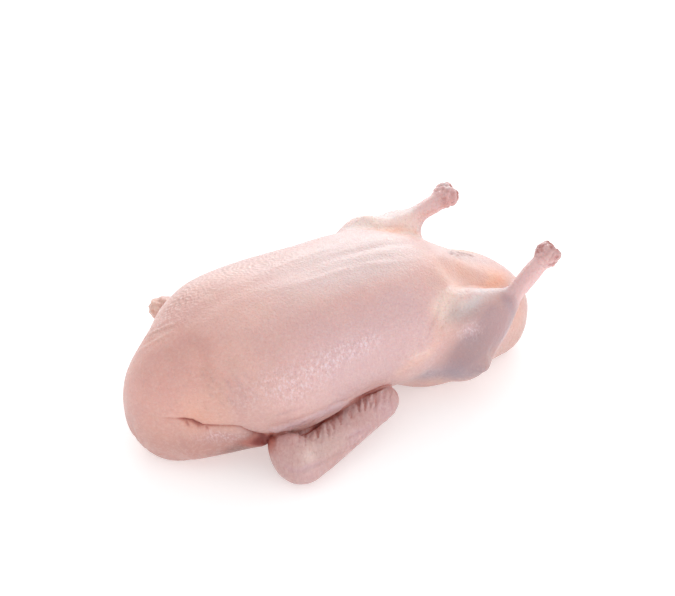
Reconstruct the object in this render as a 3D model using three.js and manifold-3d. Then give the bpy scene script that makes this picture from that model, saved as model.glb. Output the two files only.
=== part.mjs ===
// Whole raw duck, plucked and dressed, lying on its back with the breast up.
// Millimetres, +Z up. +X points to the tail, -X to the neck end, the near wing
// and leg are on the -Y side. The table is the plane z = 0.

import * as THREE from 'three';
import Module from 'manifold-3d';
import { mergeVertices } from 'three/addons/utils/BufferGeometryUtils.js';

// ---------------------------------------------------------------------------
// Sizes, mm. A ball is stretched by its three radii, turned (degrees) and
// slightly squared where its power is over 2; a limb is a rounded cone between
// two points, flattened upwards where flat is under 1. "blend" is how softly a
// piece runs into the pieces before it.
// ---------------------------------------------------------------------------
const TORSO = {
  breast: { at: [-58.6, -11.8, 57.2], radii: [78.6, 75.5, 52.9], turn: [0, 0, 0], power: 2.15, blend: 0.0 },
  trunk: { at: [29.7, -10.0, 58.3], radii: [85.6, 70.1, 50.6], turn: [0, 6, 0], power: 2.1, blend: 24.2 },
  neckFold: { at: [-118.7, -11.4, 37.9], radii: [44.5, 37.4, 48.0], turn: [0, 0, 0], power: 2.2, blend: 20.5 },
  belly: { at: [109.2, -12.4, 37.9], radii: [54.4, 51.9, 34.2], turn: [0, 10, 0], power: 2.1, blend: 18.6 },
  rump: { at: [125.2, -20.8, 16.0], radii: [29.2, 33.2, 18.6], turn: [0, 0, 0], power: 2.1, blend: 13.0 },
};
const NEAR_LEG = {
  nearThigh: { at: [77.6, -46.1, 36.6], radii: [49.6, 17.4, 36.8], turn: [0, -6, 0], power: 2.2, blend: 0.0 },
  nearKnee: { from: [72.0, -63.8, 74.4], to: [99.9, -68.5, 71.6], radii: [16.4, 10.1], flat: 1, blend: 20.5 },
  nearCalf: { from: [79.1, -63.2, 37.9], to: [109.3, -70.0, 67.8], radii: [24.8, 8.6], flat: 1, blend: 18.6 },
  nearWeb: { from: [97.2, -67.3, 55.9], to: [100.4, -46.8, 22.3], radii: [11.2, 13.0], flat: 1, blend: 14.9 },
  nearShank: { from: [109.3, -70.0, 67.8], to: [139.0, -76.6, 102.5], radii: [7.4, 6.1], flat: 1, blend: 5.6 },
  nearHockIn: { at: [140.5, -80.7, 105.3], radii: [7.4, 5.8, 7.4], turn: [0, 0, 0], power: 2.0, blend: 3.7 },
  nearHockOut: { at: [142.1, -73.5, 105.3], radii: [7.4, 5.8, 7.4], turn: [0, 0, 0], power: 2.0, blend: 3.7 },
};
const FAR_LEG = {
  farThigh: { at: [76.0, 24.1, 36.2], radii: [44.5, 24.8, 37.4], turn: [0, -6, 0], power: 2.2, blend: 0.0 },
  farKnee: { from: [61.5, 40.0, 76.4], to: [88.2, 46.0, 72.6], radii: [22.1, 13.7], flat: 1, blend: 20.5 },
  farCalf: { from: [81.6, 38.0, 45.8], to: [97.2, 48.0, 71.3], radii: [28.1, 13.8], flat: 1, blend: 18.6 },
  farWeb: { from: [90.9, 44.0, 61.1], to: [98.3, 24.8, 22.3], radii: [11.2, 13.0], flat: 1, blend: 14.9 },
  farShank: { from: [97.2, 48.0, 71.3], to: [132.4, 44.7, 92.6], radii: [11.8, 6.1], flat: 1, blend: 5.6 },
  farHockIn: { at: [135.2, 40.7, 94.5], radii: [7.4, 5.8, 7.4], turn: [0, 0, 0], power: 2.0, blend: 3.7 },
  farHockOut: { at: [135.9, 48.1, 94.5], radii: [7.4, 5.8, 7.4], turn: [0, 0, 0], power: 2.0, blend: 3.7 },
};
const NEAR_SHOULDER = {
  nearShoulder: { from: [-128.1, -37.9, 22.4], to: [-89.6, -61.5, 27.4], radii: [16.4, 11.0], flat: 1, blend: 0.0 },
};
const FAR_SHOULDER = {
  farShoulder: { from: [-126.8, 17.2, 18.6], to: [-91.4, 39.5, 24.2], radii: [15.8, 11.6], flat: 1, blend: 0.0 },
};
const NEAR_WING = {
  nearForearm: { from: [0.6, -73.8, 25.6], to: [-70.7, -91.7, 13.4], radii: [14.8, 16.6], flat: 0.85, blend: 0.0 },
  nearWrist: { at: [-78.7, -89.2, 20.3], radii: [12.3, 17.9, 16.5], turn: [0, 0, 20], power: 2.0, blend: 7.4 },
  nearHand: { from: [-70.7, -91.7, 13.4], to: [-41.0, -86.5, 8.0], radii: [10.8, 7.0], flat: 0.6, blend: 4.7 },
  nearWingWeb: { at: [-37.5, -73.9, 19.5], radii: [44.6, 16.7, 9.3], turn: [0, 0, 10], power: 2.0, blend: 5.6 },
};
const FAR_WING = {
  farForearm: { from: [-0.1, 52.7, 22.9], to: [-79.8, 94.6, 35.6], radii: [12.5, 10.8], flat: 0.85, blend: 0.0 },
  farWrist: { at: [-86.8, 96.6, 36.0], radii: [8.0, 8.4, 7.2], turn: [0, 20, -30], power: 2.0, blend: 6.0 },
  farHand: { from: [-77.0, 98.7, 32.5], to: [-39.4, 80.4, 11.3], radii: [10.0, 7.0], flat: 0.6, blend: 4.7 },
  farWingWeb: { at: [-43.1, 60.0, 24.2], radii: [44.6, 22.3, 9.3], turn: [0, 0, -18], power: 2.0, blend: 5.6 },
};

// Valleys pressed into the body: a path of points with a radius at each.
const GROINS = {
  nearGroin: { path: [[126, -54, 69, 10.5], [112, -46.0, 84.5, 14], [100, -43.0, 89.8, 14], [91, -43, 95.0, 12.5]], blend: 11 },
  nearKneeFront: { path: [[84, -52, 94.5, 5.5], [74, -57, 96.5, 6], [66, -63, 95.5, 6], [58.5, -71, 91.3, 6], [52, -77, 84.3, 6], [46, -82.5, 75.3, 6]], blend: 7 },
  farGroin: { path: [[38, 51, 99.5, 7.5], [52, 43.5, 101.5, 8], [64, 35.5, 101.5, 8.5], [77, 28, 98, 9], [90, 26, 93, 9.5], [101, 27, 88, 9.5], [112, 31, 80, 9.5], [126, 37, 70, 10]], blend: 8 },
};
const ARMPITS = {
  nearArmpit: { path: [[-93.0, -78.0, 25.0, 5.5], [-99.5, -76.5, 32.0, 4.0], [-106.0, -73.0, 34.0, 3.0]], blend: 4 },
  farArmpit: { path: [[-93.0, 57.0, 26.0, 5.5], [-99.5, 55.5, 32.0, 4.0], [-106.0, 52.0, 34.0, 3.0]], blend: 4 },
};

const SKIN_COLOUR = 0xe8c6bb;
const SKIN_ROUGHNESS = 0.42;

const GRID_CELL = 3.6;
const GRID_LOW = [-178, -124, -18];
const GRID_HIGH = [178, 124, 124];
const TRIANGLES = 8300;
const SLIVER_COST = 1e-5;

const TABLE_SIZE = 500;
const TABLE_DEPTH = 40;

// The order of building: limbs run into the body as softly as "blend" says, mm.
const STEPS = [
  { parts: TORSO, blend: 0 },
  { parts: NEAR_LEG, blend: 11 },
  { parts: FAR_LEG, blend: 11 },
  { press: GROINS },
  { parts: NEAR_SHOULDER, blend: 4 },
  { parts: FAR_SHOULDER, blend: 4 },
  { press: ARMPITS },
  { parts: NEAR_WING, blend: 3 },
  { parts: FAR_WING, blend: 3 },
];

// ---------------------------------------------------------------------------
// The body as one smooth distance: balls (stretched and slightly squared) and
// tapering limbs, run together with soft joins.
// ---------------------------------------------------------------------------
function prepareBall(d) {
  const turn = new THREE.Matrix4().makeRotationFromEuler(
    new THREE.Euler(...d.turn.map((a) => THREE.MathUtils.degToRad(a)), 'ZYX'));
  const e = turn.elements;
  const [rx, ry, rz] = d.radii;
  const [cx, cy, cz] = d.at;
  const p = d.power;
  return (x, y, z) => {
    const dx = x - cx, dy = y - cy, dz = z - cz;
    const u = Math.abs(dx * e[0] + dy * e[1] + dz * e[2]) / rx;
    const v = Math.abs(dx * e[4] + dy * e[5] + dz * e[6]) / ry;
    const w = Math.abs(dx * e[8] + dy * e[9] + dz * e[10]) / rz;
    const k = (u ** p + v ** p + w ** p) ** (1 / p) + 1e-9;
    const g = Math.hypot(u ** (p - 1) / rx, v ** (p - 1) / ry, w ** (p - 1) / rz) * k ** (1 - p) + 1e-9;
    return (k - 1) / g;
  };
}

function prepareLimb(d) {
  const a = new THREE.Vector3(...d.from);
  const axis = new THREE.Vector3(...d.to).sub(a);
  const length = axis.length();
  axis.divideScalar(length);
  const up = new THREE.Vector3(0, 0, 1);
  up.addScaledVector(axis, -up.dot(axis)).normalize();
  const side = new THREE.Vector3().crossVectors(axis, up);
  const [ra, rb] = d.radii;
  const slope = Math.max(-0.98, Math.min(0.98, (ra - rb) / length));
  const lean = slope / Math.sqrt(1 - slope * slope);
  const scale = Math.sqrt(Math.min(1, d.flat));
  return (x, y, z) => {
    const dx = x - a.x, dy = y - a.y, dz = z - a.z;
    const s = dx * axis.x + dy * axis.y + dz * axis.z;
    const p = dx * side.x + dy * side.y + dz * side.z;
    const q = (dx * up.x + dy * up.y + dz * up.z) / d.flat;
    const rho = Math.sqrt(p * p + q * q);
    const t = Math.max(0, Math.min(1, (s - rho * lean) / length));
    return (Math.hypot(s - t * length, rho) - (ra + (rb - ra) * t)) * scale;
  };
}

function softJoin(a, b, k) {
  if (k <= 0) return Math.min(a, b);
  const h = Math.max(0, Math.min(1, 0.5 + 0.5 * (b - a) / k));
  return b * (1 - h) + a * h - k * h * (1 - h);
}

// Distance to a thick path: the nearest of its tapering stretches.
function preparePath(d) {
  const stretches = d.path.slice(1).map((b, i) => {
    const a = d.path[i];
    return prepareLimb({ from: a.slice(0, 3), to: b.slice(0, 3), radii: [a[3], b[3]], flat: 1 });
  });
  return (x, y, z) => Math.min(...stretches.map((f) => f(x, y, z)));
}

const groups = STEPS.map(({ parts, blend, press }) => (press
  ? { press: Object.values(press).map((d) => ({ blend: d.blend, distance: preparePath(d) })) }
  : { blend, parts: Object.values(parts).map((d) => ({ blend: d.blend, distance: d.at ? prepareBall(d) : prepareLimb(d) })) }));

function bodyDistance(x, y, z) {
  let all = Infinity;
  for (const g of groups) {
    if (g.press) {
      for (const hollow of g.press) all = -softJoin(-all, hollow.distance(x, y, z), hollow.blend);
      continue;
    }
    let one = Infinity;
    for (const part of g.parts) {
      const d = part.distance(x, y, z);
      one = one === Infinity ? d : softJoin(one, d, part.blend);
    }
    all = all === Infinity ? one : softJoin(all, one, g.blend);
  }
  return all;
}

// ---------------------------------------------------------------------------
// Skin: one vertex in every grid cell that the surface crosses, moved onto the
// surface, and a quad round every grid edge that the surface crosses.
// ---------------------------------------------------------------------------
function skinOf(distance, low, high, cell) {
  const n = [0, 1, 2].map((i) => Math.ceil((high[i] - low[i]) / cell) + 1);
  const [nx, ny, nz] = n;
  const at = (i, j, k) => (i * ny + j) * nz + k;
  const value = new Float64Array(nx * ny * nz);
  for (let i = 0; i < nx; i++) for (let j = 0; j < ny; j++) for (let k = 0; k < nz; k++) {
    value[at(i, j, k)] = distance(low[0] + i * cell, low[1] + j * cell, low[2] + k * cell);
  }
  // Where two sheets meet only across the corners of a grid square, fill the gap.
  for (let pass = 0, changed = true; changed && pass < 8; pass++) {
    changed = false;
    for (let i = 0; i < nx - 1; i++) for (let j = 0; j < ny - 1; j++) for (let k = 0; k < nz - 1; k++) {
      for (const [p, q] of [[[1, 0, 0], [0, 1, 0]], [[0, 1, 0], [0, 0, 1]], [[0, 0, 1], [1, 0, 0]]]) {
        const c = [at(i, j, k), at(i + p[0], j + p[1], k + p[2]),
          at(i + p[0] + q[0], j + p[1] + q[1], k + p[2] + q[2]), at(i + q[0], j + q[1], k + q[2])];
        const [a, b, d, e] = c.map((t) => value[t] < 0);
        if (a !== d || b !== e || a === b) continue;
        const open = c.filter((t) => value[t] >= 0);
        value[value[open[0]] < value[open[1]] ? open[0] : open[1]] = -1e-3;
        changed = true;
      }
    }
  }
  const index = new Int32Array(nx * ny * nz).fill(-1);
  const points = [];
  for (let i = 0; i < nx - 1; i++) for (let j = 0; j < ny - 1; j++) for (let k = 0; k < nz - 1; k++) {
    let count = 0;
    const sum = [0, 0, 0];
    for (let axis = 0; axis < 3; axis++) {
      for (let u = 0; u < 2; u++) for (let v = 0; v < 2; v++) {
        const a = [0, 0, 0];
        a[(axis + 1) % 3] = u;
        a[(axis + 2) % 3] = v;
        const b = a.slice();
        b[axis] = 1;
        const da = value[at(i + a[0], j + a[1], k + a[2])];
        const db = value[at(i + b[0], j + b[1], k + b[2])];
        if ((da < 0) === (db < 0)) continue;
        const t = da / (da - db);
        for (let c = 0; c < 3; c++) sum[c] += a[c] + (b[c] - a[c]) * t;
        count++;
      }
    }
    if (!count) continue;
    index[at(i, j, k)] = points.length / 3;
    let x = low[0] + (i + sum[0] / count) * cell;
    let y = low[1] + (j + sum[1] / count) * cell;
    let z = low[2] + (k + sum[2] / count) * cell;
    const e = 0.25;
    for (let pass = 0; pass < 2; pass++) {
      const gx = (distance(x + e, y, z) - distance(x - e, y, z)) / (2 * e);
      const gy = (distance(x, y + e, z) - distance(x, y - e, z)) / (2 * e);
      const gz = (distance(x, y, z + e) - distance(x, y, z - e)) / (2 * e);
      const m = gx * gx + gy * gy + gz * gz + 1e-9;
      const s = Math.max(-cell / 4, Math.min(cell / 4, distance(x, y, z) / Math.sqrt(m))) * 0.9 / Math.sqrt(m);
      x -= gx * s; y -= gy * s; z -= gz * s;
    }
    points.push(x, y, z);
  }
  const faces = [];
  for (let i = 1; i < nx - 1; i++) for (let j = 1; j < ny - 1; j++) for (let k = 1; k < nz - 1; k++) {
    const here = value[at(i, j, k)] < 0;
    for (let axis = 0; axis < 3; axis++) {
      const d = [axis === 0 ? 1 : 0, axis === 1 ? 1 : 0, axis === 2 ? 1 : 0];
      const there = value[at(i + d[0], j + d[1], k + d[2])] < 0;
      if (here === there) continue;
      const u = (axis + 1) % 3, v = (axis + 2) % 3;
      const cellAt = (a, b) => {
        const c = [i, j, k];
        c[u] += a; c[v] += b;
        return index[at(c[0], c[1], c[2])];
      };
      const q = [cellAt(-1, -1), cellAt(0, -1), cellAt(0, 0), cellAt(-1, 0)];
      if (there) q.reverse();
      faces.push(q[0], q[1], q[2], q[0], q[2], q[3]);
    }
  }
  return { points: Float64Array.from(points), faces: Int32Array.from(faces) };
}

// ---------------------------------------------------------------------------
// Thinning: the edge whose removal moves the surface least goes first.
// ---------------------------------------------------------------------------
function thin({ points, faces }, wanted) {
  const count = points.length / 3;
  const faceCount = faces.length / 3;
  const alive = new Uint8Array(faceCount).fill(1);
  const around = Array.from({ length: count }, () => new Set());
  const quadric = Array.from({ length: count }, () => new Float64Array(10));
  const P = (v) => [points[3 * v], points[3 * v + 1], points[3 * v + 2]];
  const normalOf = (a, b, c) => {
    const ux = b[0] - a[0], uy = b[1] - a[1], uz = b[2] - a[2];
    const vx = c[0] - a[0], vy = c[1] - a[1], vz = c[2] - a[2];
    return [uy * vz - uz * vy, uz * vx - ux * vz, ux * vy - uy * vx];
  };
  for (let f = 0; f < faceCount; f++) {
    const [a, b, c] = [faces[3 * f], faces[3 * f + 1], faces[3 * f + 2]];
    around[a].add(f); around[b].add(f); around[c].add(f);
    const n = normalOf(P(a), P(b), P(c));
    const area = Math.hypot(...n) + 1e-12;
    const [x, y, z] = n.map((t) => t / area);
    const d = -(x * points[3 * a] + y * points[3 * a + 1] + z * points[3 * a + 2]);
    const q = [x * x, x * y, x * z, x * d, y * y, y * z, y * d, z * z, z * d, d * d];
    for (const v of [a, b, c]) for (let i = 0; i < 10; i++) quadric[v][i] += q[i] * area;
  }
  const error = (q, x, y, z) => q[0] * x * x + 2 * q[1] * x * y + 2 * q[2] * x * z + 2 * q[3] * x
    + q[4] * y * y + 2 * q[5] * y * z + 2 * q[6] * y + q[7] * z * z + 2 * q[8] * z + q[9];
  const plan = (a, b) => {
    const q = quadric[a].map((t, i) => t + quadric[b][i]);
    const pa = P(a), pb = P(b);
    const m = new THREE.Matrix3().set(q[0], q[1], q[2], q[1], q[4], q[5], q[2], q[5], q[7]);
    const mid = [(pa[0] + pb[0]) / 2, (pa[1] + pb[1]) / 2, (pa[2] + pb[2]) / 2];
    const len = Math.hypot(pa[0] - pb[0], pa[1] - pb[1], pa[2] - pb[2]);
    let best = mid;
    const scale = (Math.abs(q[0]) + Math.abs(q[4]) + Math.abs(q[7])) / 3 + 1e-12;
    if (Math.abs(m.determinant()) > 1e-4 * scale ** 3) {
      const s = new THREE.Vector3(-q[3], -q[6], -q[8]).applyMatrix3(m.invert());
      if (s.distanceTo(new THREE.Vector3(...mid)) < len) best = [s.x, s.y, s.z];
    }
    const cost = Math.max(0, error(q, ...best)) + SLIVER_COST * len ** 4;
    return { cost, best };
  };
  // A binary heap of planned removals.
  const heap = [];
  const stamp = new Int32Array(count);
  const push = (item) => {
    let i = heap.push(item) - 1;
    while (i > 0) {
      const up = (i - 1) >> 1;
      if (heap[up].cost <= heap[i].cost) break;
      [heap[up], heap[i]] = [heap[i], heap[up]];
      i = up;
    }
  };
  const pop = () => {
    const top = heap[0], last = heap.pop();
    if (heap.length) {
      heap[0] = last;
      let i = 0;
      for (;;) {
        const l = 2 * i + 1, r = l + 1;
        let s = i;
        if (l < heap.length && heap[l].cost < heap[s].cost) s = l;
        if (r < heap.length && heap[r].cost < heap[s].cost) s = r;
        if (s === i) break;
        [heap[s], heap[i]] = [heap[i], heap[s]];
        i = s;
      }
    }
    return top;
  };
  const neighbours = (v) => {
    const out = new Set();
    for (const f of around[v]) for (let c = 0; c < 3; c++) if (faces[3 * f + c] !== v) out.add(faces[3 * f + c]);
    return out;
  };
  const queue = (a, b) => push({ a, b, sa: stamp[a], sb: stamp[b], ...plan(a, b) });
  for (let v = 0; v < count; v++) for (const w of neighbours(v)) if (v < w) queue(v, w);
  let left = faceCount;
  while (left > wanted && heap.length) {
    const { a, b, sa, sb, best } = pop();
    if (sa !== stamp[a] || sb !== stamp[b] || !around[a].size || !around[b].size) continue;
    const na = neighbours(a), nb = neighbours(b);
    if (!na.has(b)) continue;
    let common = 0;
    for (const v of na) if (nb.has(v)) common++;
    if (common !== 2) continue;
    let folds = false;
    for (const v of [a, b]) {
      for (const f of around[v]) {
        const c = [faces[3 * f], faces[3 * f + 1], faces[3 * f + 2]];
        if (c.includes(a) && c.includes(b)) continue;
        const before = normalOf(...c.map(P));
        const after = normalOf(...c.map((w) => (w === v ? best : P(w))));
        const dot = before[0] * after[0] + before[1] * after[1] + before[2] * after[2];
        if (dot < 0.35 * Math.hypot(...before) * Math.hypot(...after)) { folds = true; break; }
      }
      if (folds) break;
    }
    if (folds) continue;
    for (const f of [...around[b]]) {
      const c = [faces[3 * f], faces[3 * f + 1], faces[3 * f + 2]];
      if (c.includes(a)) {
        alive[f] = 0;
        left--;
        for (const w of c) around[w].delete(f);
      } else {
        for (let i = 0; i < 3; i++) if (faces[3 * f + i] === b) faces[3 * f + i] = a;
        around[a].add(f);
        around[b].delete(f);
      }
    }
    [points[3 * a], points[3 * a + 1], points[3 * a + 2]] = best;
    for (let i = 0; i < 10; i++) quadric[a][i] += quadric[b][i];
    stamp[a]++;
    stamp[b]++;
    for (const w of neighbours(a)) queue(a, w);
  }
  const kept = new Map();
  const outPoints = [], outFaces = [];
  for (let f = 0; f < faceCount; f++) {
    if (!alive[f]) continue;
    for (let c = 0; c < 3; c++) {
      const v = faces[3 * f + c];
      if (!kept.has(v)) {
        kept.set(v, outPoints.length / 3);
        outPoints.push(...P(v));
      }
      outFaces.push(kept.get(v));
    }
  }
  return { points: outPoints, faces: outFaces };
}

// ---------------------------------------------------------------------------
// Closed solid, with a flat patch wherever the bird meets the table.
// ---------------------------------------------------------------------------
const wasm = await Module();
wasm.setup();

function solidOf(points, faces) {
  return new wasm.Manifold(new wasm.Mesh({
    numProp: 3,
    vertProperties: Float32Array.from(points),
    triVerts: Uint32Array.from(faces),
  }));
}

const thinned = thin(skinOf(bodyDistance, GRID_LOW, GRID_HIGH, GRID_CELL), TRIANGLES);

let table = new THREE.BoxGeometry(TABLE_SIZE, TABLE_SIZE, TABLE_DEPTH);
table.translate(0, 0, -TABLE_DEPTH / 2);
table.deleteAttribute('normal');
table.deleteAttribute('uv');
table = mergeVertices(table);

const rested = solidOf(thinned.points, thinned.faces)
  .subtract(solidOf(table.attributes.position.array, table.index.array))
  .getMesh();

const geometry = new THREE.BufferGeometry();
geometry.setAttribute('position', new THREE.BufferAttribute(Float32Array.from(rested.vertProperties), 3));
geometry.setIndex([...rested.triVerts]);
geometry.computeVertexNormals();

const skin = new THREE.MeshStandardMaterial({ color: SKIN_COLOUR, roughness: SKIN_ROUGHNESS, metalness: 0 });
const duck = new THREE.Mesh(geometry, skin);
duck.name = 'duck';

const group = new THREE.Group();
group.add(duck);

export default group;
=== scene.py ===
"""Whole raw duck on its back: skin, folds, wing, leg ends, light and camera.

The skin is one mesh, made from the same balls and limbs as the solid, in the
same frame. Sizes are in millimetres until the mesh is made.
"""

import math

import bpy
import numpy as np
from mathutils import Matrix, Vector


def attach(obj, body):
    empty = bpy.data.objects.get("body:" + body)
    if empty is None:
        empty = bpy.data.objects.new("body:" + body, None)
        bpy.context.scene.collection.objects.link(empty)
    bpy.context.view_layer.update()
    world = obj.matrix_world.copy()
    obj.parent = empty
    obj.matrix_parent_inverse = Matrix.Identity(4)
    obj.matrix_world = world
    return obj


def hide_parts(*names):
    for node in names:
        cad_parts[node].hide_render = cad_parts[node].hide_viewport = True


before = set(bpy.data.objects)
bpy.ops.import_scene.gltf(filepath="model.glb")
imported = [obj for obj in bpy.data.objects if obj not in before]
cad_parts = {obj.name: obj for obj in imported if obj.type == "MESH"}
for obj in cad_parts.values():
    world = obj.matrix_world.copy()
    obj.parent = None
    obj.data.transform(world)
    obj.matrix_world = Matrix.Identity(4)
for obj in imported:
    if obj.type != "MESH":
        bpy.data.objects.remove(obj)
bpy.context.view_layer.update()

# ---------------------------------------------------------------------------
# Sizes, mm: balls (centre, radii, turn in degrees, squareness) and limbs
# (end to end, end radii, flatness), each with the blend into the ones before.
# ---------------------------------------------------------------------------
TORSO = {
    "breast": dict(at=(-58.6, -11.8, 57.2), radii=(78.6, 75.5, 52.9), turn=(0, 0, 0), power=2.15, blend=0.0),
    "trunk": dict(at=(29.7, -10.0, 58.3), radii=(85.6, 70.1, 50.6), turn=(0, 6, 0), power=2.1, blend=24.2),
    "neckFold": dict(at=(-118.7, -11.4, 37.9), radii=(44.5, 37.4, 48.0), turn=(0, 0, 0), power=2.2, blend=20.5),
    "belly": dict(at=(109.2, -12.4, 37.9), radii=(54.4, 51.9, 34.2), turn=(0, 10, 0), power=2.1, blend=18.6),
    "rump": dict(at=(125.2, -20.8, 16.0), radii=(29.2, 33.2, 18.6), turn=(0, 0, 0), power=2.1, blend=13.0),
}
NEAR_LEG = {
    "nearThigh": dict(at=(77.6, -46.1, 36.6), radii=(49.6, 17.4, 36.8), turn=(0, -6, 0), power=2.2, blend=0.0),
    "nearKnee": {"from": (72.0, -63.8, 74.4), "to": (99.9, -68.5, 71.6), "radii": (16.4, 10.1), "flat": 1, "blend": 20.5},
    "nearCalf": {"from": (79.1, -63.2, 37.9), "to": (109.3, -70.0, 67.8), "radii": (24.8, 8.6), "flat": 1, "blend": 18.6},
    "nearWeb": {"from": (97.2, -67.3, 55.9), "to": (100.4, -46.8, 22.3), "radii": (11.2, 13.0), "flat": 1, "blend": 14.9},
    "nearShank": {"from": (109.3, -70.0, 67.8), "to": (139.0, -76.6, 102.5), "radii": (7.4, 6.1), "flat": 1, "blend": 5.6},
    "nearHockIn": dict(at=(140.5, -80.7, 105.3), radii=(7.4, 5.8, 7.4), turn=(0, 0, 0), power=2.0, blend=3.7),
    "nearHockOut": dict(at=(142.1, -73.5, 105.3), radii=(7.4, 5.8, 7.4), turn=(0, 0, 0), power=2.0, blend=3.7),
}
FAR_LEG = {
    "farThigh": dict(at=(76.0, 24.1, 36.2), radii=(44.5, 24.8, 37.4), turn=(0, -6, 0), power=2.2, blend=0.0),
    "farKnee": {"from": (61.5, 40.0, 76.4), "to": (88.2, 46.0, 72.6), "radii": (22.1, 13.7), "flat": 1, "blend": 20.5},
    "farCalf": {"from": (81.6, 38.0, 45.8), "to": (97.2, 48.0, 71.3), "radii": (28.1, 13.8), "flat": 1, "blend": 18.6},
    "farWeb": {"from": (90.9, 44.0, 61.1), "to": (98.3, 24.8, 22.3), "radii": (11.2, 13.0), "flat": 1, "blend": 14.9},
    "farShank": {"from": (97.2, 48.0, 71.3), "to": (132.4, 44.7, 92.6), "radii": (11.8, 6.1), "flat": 1, "blend": 5.6},
    "farHockIn": dict(at=(135.2, 40.7, 94.5), radii=(7.4, 5.8, 7.4), turn=(0, 0, 0), power=2.0, blend=3.7),
    "farHockOut": dict(at=(135.9, 48.1, 94.5), radii=(7.4, 5.8, 7.4), turn=(0, 0, 0), power=2.0, blend=3.7),
}
NEAR_SHOULDER = {
    "nearShoulder": {"from": (-128.1, -37.9, 22.4), "to": (-89.6, -61.5, 27.4), "radii": (16.4, 11.0), "flat": 1, "blend": 0.0},
}
FAR_SHOULDER = {
    "farShoulder": {"from": (-126.8, 17.2, 18.6), "to": (-91.4, 39.5, 24.2), "radii": (15.8, 11.6), "flat": 1, "blend": 0.0},
}
NEAR_WING = {
    "nearForearm": {"from": (0.6, -73.8, 25.6), "to": (-70.7, -91.7, 13.4), "radii": (14.8, 16.6), "flat": 0.85, "blend": 0.0},
    "nearWrist": dict(at=(-78.7, -89.2, 20.3), radii=(12.3, 17.9, 16.5), turn=(0, 0, 20), power=2.0, blend=7.4),
    "nearHand": {"from": (-70.7, -91.7, 13.4), "to": (-41.0, -86.5, 8.0), "radii": (10.8, 7.0), "flat": 0.6, "blend": 4.7},
    "nearWingWeb": dict(at=(-37.5, -73.9, 19.5), radii=(44.6, 16.7, 9.3), turn=(0, 0, 10), power=2.0, blend=5.6),
}
FAR_WING = {
    "farForearm": {"from": (-0.1, 52.7, 22.9), "to": (-79.8, 94.6, 35.6), "radii": (12.5, 10.8), "flat": 0.85, "blend": 0.0},
    "farWrist": dict(at=(-86.8, 96.6, 36.0), radii=(8.0, 8.4, 7.2), turn=(0, 20, -30), power=2.0, blend=6.0),
    "farHand": {"from": (-77.0, 98.7, 32.5), "to": (-39.4, 80.4, 11.3), "radii": (10.0, 7.0), "flat": 0.6, "blend": 4.7},
    "farWingWeb": dict(at=(-43.1, 60.0, 24.2), radii=(44.6, 22.3, 9.3), turn=(0, 0, -18), power=2.0, blend=5.6),
}
# Valleys pressed into the body: a path of points with a radius at each.
GROINS = {
    "nearGroin": dict(path=[(126, -54, 69, 10.5), (112, -46.0, 84.5, 14), (100, -43.0, 89.8, 14), (91, -43, 95.0, 12.5)], blend=11),
    "nearKneeFront": dict(path=[(84, -52, 94.5, 5.5), (74, -57, 96.5, 6), (66, -63, 95.5, 6), (58.5, -71, 91.3, 6), (52, -77, 84.3, 6), (46, -82.5, 75.3, 6)], blend=7),
    "farGroin": dict(path=[(38, 51, 99.5, 7.5), (52, 43.5, 101.5, 8), (64, 35.5, 101.5, 8.5), (77, 28, 98, 9), (90, 26, 93, 9.5), (101, 27, 88, 9.5), (112, 31, 80, 9.5), (126, 37, 70, 10)], blend=8),
}
ARMPITS = {
    "nearArmpit": dict(path=[(-93.0, -78.0, 25.0, 5.5), (-99.5, -76.5, 32.0, 4.0), (-106.0, -73.0, 34.0, 3.0)], blend=4),
    "farArmpit": dict(path=[(-93.0, 57.0, 26.0, 5.5), (-99.5, 55.5, 32.0, 4.0), (-106.0, 52.0, 34.0, 3.0)], blend=4),
}
JOINS = [(TORSO, 0), (NEAR_LEG, 11), (FAR_LEG, 11), (GROINS, None),
         (NEAR_SHOULDER, 4), (FAR_SHOULDER, 4), (ARMPITS, None), (NEAR_WING, 3), (FAR_WING, 3)]


def turn_of(rx, ry, rz):
    rx, ry, rz = np.radians([rx, ry, rz])
    cx, sx, cy, sy, cz, sz = np.cos(rx), np.sin(rx), np.cos(ry), np.sin(ry), np.cos(rz), np.sin(rz)
    X = np.array([[1, 0, 0], [0, cx, -sx], [0, sx, cx]])
    Y = np.array([[cy, 0, sy], [0, 1, 0], [-sy, 0, cy]])
    Z = np.array([[cz, -sz, 0], [sz, cz, 0], [0, 0, 1]])
    return Z @ Y @ X


def ball(P, at, radii, turn=(0, 0, 0), power=2.0):
    q = np.abs((P - np.array(at, float)) @ turn_of(*turn))
    r = np.array(radii, float)
    u = q / r
    if power == 2.0:
        k = np.sqrt((u * u).sum(1)) + 1e-9
        g = np.sqrt(((u / r) ** 2).sum(1)) / k + 1e-9
    else:
        k = (u ** power).sum(1) ** (1 / power) + 1e-9
        g = np.sqrt(((u ** (power - 1) / r) ** 2).sum(1)) * k ** (1 - power) + 1e-9
    return (k - 1) / g


def limb(P, a, b, ra, rb, flat=1.0):
    a = np.array(a, float)
    ax = np.array(b, float) - a
    L = np.sqrt(ax @ ax)
    ax = ax / L
    n = np.array((0.0, 0.0, 1.0))
    n = n - (n @ ax) * ax
    n = n / np.sqrt(n @ n)
    s = np.cross(ax, n)
    q = P - a
    x, y, z = q @ ax, q @ s, (q @ n) / flat
    rho = np.sqrt(y * y + z * z)
    k = np.clip((ra - rb) / L, -0.98, 0.98)
    t = np.clip((x - rho * k / np.sqrt(1 - k * k)) / L, 0, 1)
    return (np.sqrt((x - t * L) ** 2 + rho ** 2) - (ra + (rb - ra) * t)) * min(1.0, flat) ** 0.5


def soft_join(a, b, k):
    if k <= 0:
        return np.minimum(a, b)
    h = np.clip(0.5 + 0.5 * (b - a) / k, 0, 1)
    return b * (1 - h) + a * h - k * h * (1 - h)


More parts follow.
